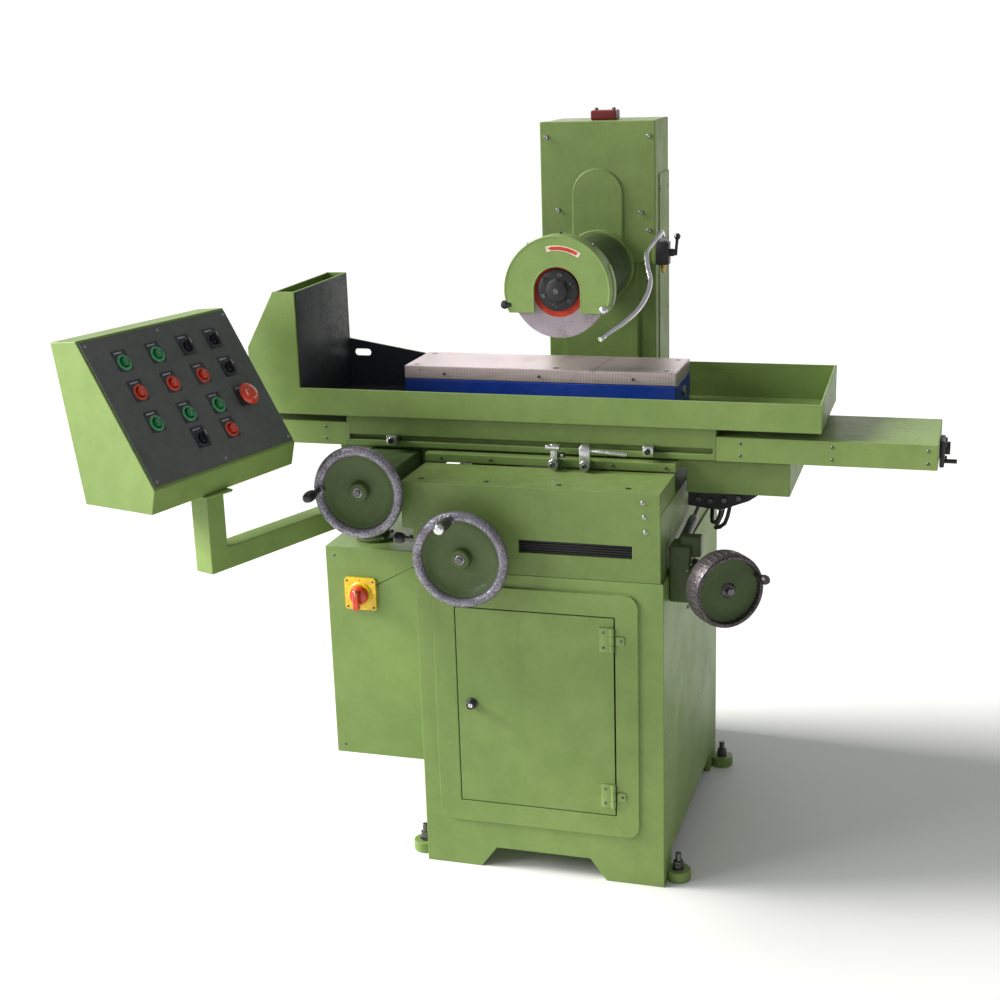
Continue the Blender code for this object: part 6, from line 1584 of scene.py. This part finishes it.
# ----------------------------------------------------------------------- cabinet
@dataclass
class Cabinet:
    """Electrical cabinet with its main switch, door hinges and cable glands."""

    switch: tuple = (-0.186, 0.1596, 0.538)
    half: float = 0.036

    def build(self) -> None:
        """Dress the sheet metal and add the fittings."""
        dress("electrical_cabinet", GREEN, 0.0016)
        dress("cabinet_door", GREEN, 0.0008)
        self.main_switch()
        low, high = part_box("electrical_cabinet")
        trim = Shape("cabinet_fittings")
        for z in (low.z + 0.090, high.z - 0.090):
            trim.bar((low.x - 0.0032, high.y - 0.0135, z - 0.022),
                    (low.x - 0.0032, high.y - 0.0135, z + 0.022), 0.0034, PALE_GREEN, 20)
        for y, z in ((high.y, low.z + 0.060), (high.y, low.z + 0.110)):
            base = (low.x + 0.070, y, z)
            trim.turned([(0.0045, 0.0220), (0.0085, 0.0210), (0.0105, 0.0160), (0.0105, 0.0090),
                    (0.0135, 0.0080), (0.0135, -0.0010), (0.0045, -0.0010)],
                        BLACK_PLASTIC, base, (0, 1, 0), 24)
        for k in range(8):
            z = low.z + 0.24 + 0.020 * k
            trim.block((low.x + 0.06, high.y + 0.0002, z), (high.x - 0.06, high.y + 0.0034, z + 0.008),
                    PALE_GREEN, 0.0012)
        for x in (low.x + 0.020, high.x - 0.020):
            for z in (low.z + 0.020, high.z - 0.020):
                trim.turned([(0, 0.0012), (0.0020, 0.0010), (0.0034, 0), (0.0034, -0.0003), (0, -0.0003)],
                        OILY_STEEL,
                            (x, low.y - 0.0001, z), (0, -1, 0), 20)
        trim.done("machine", "machine_green")

    def main_switch(self) -> None:
        """Yellow plate with a raised ring and blank ticks, and the red rotary knob."""
        x, y, z = self.switch
        h = self.half
        turn = Matrix.Translation(at(x, y, z)) @ ACROSS
        back = Shape("switch_yellow_plate")
        back.cut_out(rounded((-h, -h), (h, h), 0.006), 0.0080, YELLOW_PLASTIC, turn,
                [circle((0, 0), 0.0052)], 0.0012)
        back.turned([(0.0056, 0.0116), (0.0250, 0.0116), (0.0262, 0.0108), (0.0276, 0.0078),
                (0.0056, 0.0078)], YELLOW_PLASTIC,
                    at(x, y, z), (0, -1, 0), 64)
        for k in range(4):
            tick = turn @ Matrix.Rotation(math.pi / 2 * k, 4, "Z")
            back.block((-0.0008, 0.0290, 0.0079), (0.0008, 0.0335, 0.0083), RED_PLASTIC, 0.0001, tick)
        for u in (-0.030, 0.030):
            for v in (-0.030, 0.030):
                back.screw(at(x + u, y - 0.0078, z + v), (0, -1, 0), 0.0022, OILY_STEEL)
        back.done("machine", "yellow_plastic", ["switch_plate"])
        front = y - 0.0124
        knob = Shape("switch_red_knob")
        knob.turned([(0, 0.0135), (0.0150, 0.0135), (0.0192, 0.0118), (0.0208, 0.0080), (0.0210, 0.0004),
                (0, 0.0004)], RED_PLASTIC,
                    at(x, front, z), (0, -1, 0), 56)
        knob.cut_out(rounded((-0.0070, -0.0288), (0.0070, 0.0182), 0.0068, 8), 0.0130, RED_PLASTIC,
                     Matrix.Translation(at(x, front - 0.0145, z)) @ ACROSS, bevel=0.0020)
        knob.block(at(x - 0.0010, front - 0.0279, z + 0.0050), at(x + 0.0010, front - 0.0271, z + 0.0165),
                CREAM_LABEL, 0.0001)
        knob.bar(at(x, front, z), at(x, 0.180, z), 0.0042, OILY_STEEL, 20)
        knob.done("switch_knob", "red_plastic", ["switch_knob"])


# ----------------------------------------------------------------------- pendant
class Control(Enum):
    """Kinds of control on the panel, with their head and ring finishes."""

    START = (GREEN_PLASTIC, GREEN_RING)
    STOP = (RED_PLASTIC, RED_RING)
    MUSHROOM = (RED_PLASTIC, LEGEND)
    CAP = (RED_PLASTIC, RED_RING)
    SELECTOR = (BLACK_PLASTIC, LEGEND)


@dataclass
class Pendant:
    """Swivelling control box with its arm, panel and controls."""

    origin: tuple = (-0.380, -0.177, 1.0476)
    heading: float = math.radians(75.2)
    slope: float = math.radians(58)
    width: float = 0.401
    height: float = 0.302
    columns: tuple = (-0.121, -0.032, 0.053, 0.131)
    rows: tuple = (0.094, 0.030, -0.036, -0.091)
    sheet: float = 0.0034
    rest: float = 0.0064
    controls: tuple = (
        ("button_wheel_start", Control.START, 0, 0), ("button_pump_start", Control.START, 1, 0),
        ("selector_feed", Control.SELECTOR, 2, 0), ("selector_table", Control.SELECTOR, 3, 0),
        ("button_wheel_stop", Control.STOP, 0, 1), ("button_pump_stop", Control.STOP, 1, 1),
        ("button_coolant_stop", Control.STOP, 2, 1), ("selector_coolant", Control.SELECTOR, 3, 1),
        ("button_lift_up", Control.START, 0, 2), ("button_lift_down", Control.START, 1, 2),
        ("button_coolant_start", Control.START, 2, 2), ("emergency_stop", Control.MUSHROOM, 3, 2),
        ("selector_magnet", Control.SELECTOR, 1, 3), ("button_magnet_off", Control.CAP, 2, 3))

    def plane(self) -> Matrix:
        """The panel's own frame: u right, v up the slope, w out of it."""
        return (Matrix.Translation(at(*self.origin)) @ Matrix.Rotation(self.heading, 4, "Z")
                @ Matrix.Rotation(self.slope, 4, "X"))

    def build(self) -> None:
        """Dress the box and arm, then build the panel and what stands on it."""
        dress("pendant_box", GREEN, 0.0016)
        dress("pendant_arm", GREEN, 0.0022)
        self.pivot()
        self.panel()
        for name, kind, column, row in self.controls:
            self.control(name, kind, self.columns[column], self.rows[row])

    def pivot(self) -> None:
        """Swivel post on the cabinet's top with its flange screws."""
        low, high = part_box("pendant_pivot")
        x, y = (low.x + high.x) / 2, (low.y + high.y) / 2
        base = high.z - low.z - 0.058
        post = Shape("pivot_post")
        # the pivot post is painted in the same green darkened for shade
        post.turned([(0, base + 0.0575), (0.0095, base + 0.0575), (0.0112, base + 0.0560), (0.0112, base),
                (0.0305, base), (0.0318, base - 0.0015),
                     (0.0300, base - 0.010), (0.0300, 0.016), (0.0318, 0.0085), (0.0440, 0.0066),
                     (0.0448, 0.0056), (0.0448, 0.0002), (0, 0.0002)],
                    SHADE_DARKENED_GREEN, (x, y, low.z), sides=64)
        for k in range(4):
            angle = math.radians(45 + 90 * k)
            post.screw((x + 0.0380 * math.cos(angle), y + 0.0380 * math.sin(angle), low.z + 0.0066),
                    (0, 0, 1), 0.0036, OILY_STEEL)
        post.done("machine", "dark_green", ["pendant_pivot"])
        cap = Shape("arm_fittings")
        arm_low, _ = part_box("pendant_arm")
        top = arm_low.z + 0.045
        cap.turned([(0.0122, 0), (0.0260, 0), (0.0272, 0.001), (0.0272, 0.0045), (0.0255, 0.0060),
                (0.0122, 0.0060)], OILY_STEEL, (x, y, top), sides=48)
        cap.done("pendant", "dark_green")

    def panel(self) -> None:
        """Grey plate with its holes, corner screws, legend plates and bezel rings."""
        w, h = self.width / 2, self.height / 2
        plate = Shape("panel_plate", self.plane())
        holes = [circle((self.columns[c], self.rows[r]), 0.0106, 28) for _, _, c, r in self.controls]
        plate.cut_out(rounded((-w, -h), (w, h), 0.004), self.sheet - 0.0006, GREY_PANEL,
                Matrix.Translation((0, 0, 0.0006)), holes, 0.0005)
        for u in (-w + 0.009, 0, w - 0.009):
            for v in (-h + 0.009, h - 0.009):
                plate.turned([(0, 0.0012), (0.0018, 0.0010), (0.0032, 0), (0.0032, -0.0004), (0, -0.0004)],
                        STEEL, (u, v, self.sheet), sides=20)
        for _, kind, column, row in self.controls:
            u, v = self.columns[column], self.rows[row]
            big = kind is Control.MUSHROOM
            plate.cut_out(rounded((u - 0.0205, v - 0.0175), (u + 0.0165, v + 0.0265), 0.002), 0.0008,
                    LEGEND,
                          Matrix.Translation((0, 0, self.sheet)), [circle((u, v), 0.0107, 28)], 0.0002)
            plate.block((u - 0.0140, v + 0.0195, self.sheet + 0.0007),
                    (u + 0.0060, v + 0.0225, self.sheet + 0.0010), LEGEND_TEXT, 0.0001)
            ring = kind.value[1]
            outer = 0.0165
            plate.turned([(0.0108, self.sheet), (outer, self.sheet), (outer, self.sheet + 0.0018),
                    (outer - 0.0016, self.sheet + 0.0029),
                          (0.0122, self.sheet + 0.0029), (0.0108, self.sheet + 0.0022)],
                          LEGEND if big else ring, (u, v, 0), sides=40)
        plate.done("pendant", "panel_grey", ["control_panel"])

    def control(self, name: str, kind: Control, u: float, v: float) -> None:
        """One push button, mushroom head or selector knob.

        Args:
            name: the CAD node and body.
            kind: what it is.
            u, v: where it stands on the panel.
        """
        head, _ = kind.value
        knob = Shape(f"{name}_head", self.plane() @ Matrix.Translation((u, v, self.rest)))
        stem = [(0.0086, -0.0010), (0.0086, -0.0150), (0, -0.0150)]
        if kind in (Control.START, Control.STOP):
            knob.turned([(0, 0.0038), (0.0062, 0.0042), (0.0078, 0.0054), (0.0088, 0.0046),
                    (0.0090, 0.0010)] + stem, head, sides=40)
            knob.block((-0.0008, -0.0040, 0.0038), (0.0008, 0.0040, 0.0045), LEGEND_TEXT, 0.0001)
            slot = "red_plastic" if kind is Control.STOP else "green_plastic"
        elif kind is Control.SELECTOR:
            knob.turned([(0, 0.0036), (0.0080, 0.0036), (0.0090, 0.0028), (0.0090, 0.0010)] + stem, head,
                    sides=40)
            knob.cut_out(rounded((-0.0034, -0.0124), (0.0034, 0.0124), 0.0032, 6), 0.0100, head,
                    Matrix.Translation((0, 0, 0.0030)), bevel=0.0010)
            knob.block((-0.0006, 0.0020, 0.01295), (0.0006, 0.0112, 0.01315), CREAM_LABEL, 0)
            slot = "black_plastic"
        else:
            r = 0.0234 if kind is Control.MUSHROOM else 0.0164
            knob.turned([(0, 0.0218), (r * 0.45, 0.0210), (r * 0.78, 0.0186), (r * 0.95, 0.0150),
                    (r, 0.0124), (r * 0.96, 0.0104), (r * 0.80, 0.0088),
                         (0.0098, 0.0080), (0.0088, 0.0060)] + stem, head, sides=56)
            for k in range(3 if kind is Control.MUSHROOM else 0):
                turn = Matrix.Rotation(math.radians(120 * k), 4, "Z")
                knob.cut_out(arc((0, 0), r * 0.60, 20, 78, 10) + list(reversed(arc((0, 0), r * 0.48, 20, 78,
                        10))), 0.0012, CREAM_LABEL,
                             turn @ Matrix.Translation((0, 0, 0.0193)), bevel=0.0001)
            slot = "red_plastic"
        knob.done(name, slot, [name])


def main() -> None:
    """Build the setting, the cords and then each sub-assembly in order."""
    logging.basicConfig(level=logging.INFO, format="%(name)s: %(message)s")
    setting = Setting()
    setting.camera()
    hoses = Hoses()
    hoses.build()
    setting.floor()
    setting.lights()
    hoses.unions()
    for part in (Pedestal(), Bed(), Saddle(), Table(), Column(), Head(),
                 Handwheel("handwheel_cross", "handwheel_cross_turn", 0.100, 0.0616, math.radians(100),
                 0.078, Handle.GRIP),
                 Handwheel("handwheel_table", "handwheel_table_turn", 0.096, 0.0516, math.radians(178),
                 0.070, Handle.BALL),
                 ElevatingWheel(), Cabinet(), Pendant()):
        part.build()


if __name__ == "__main__":
    main()
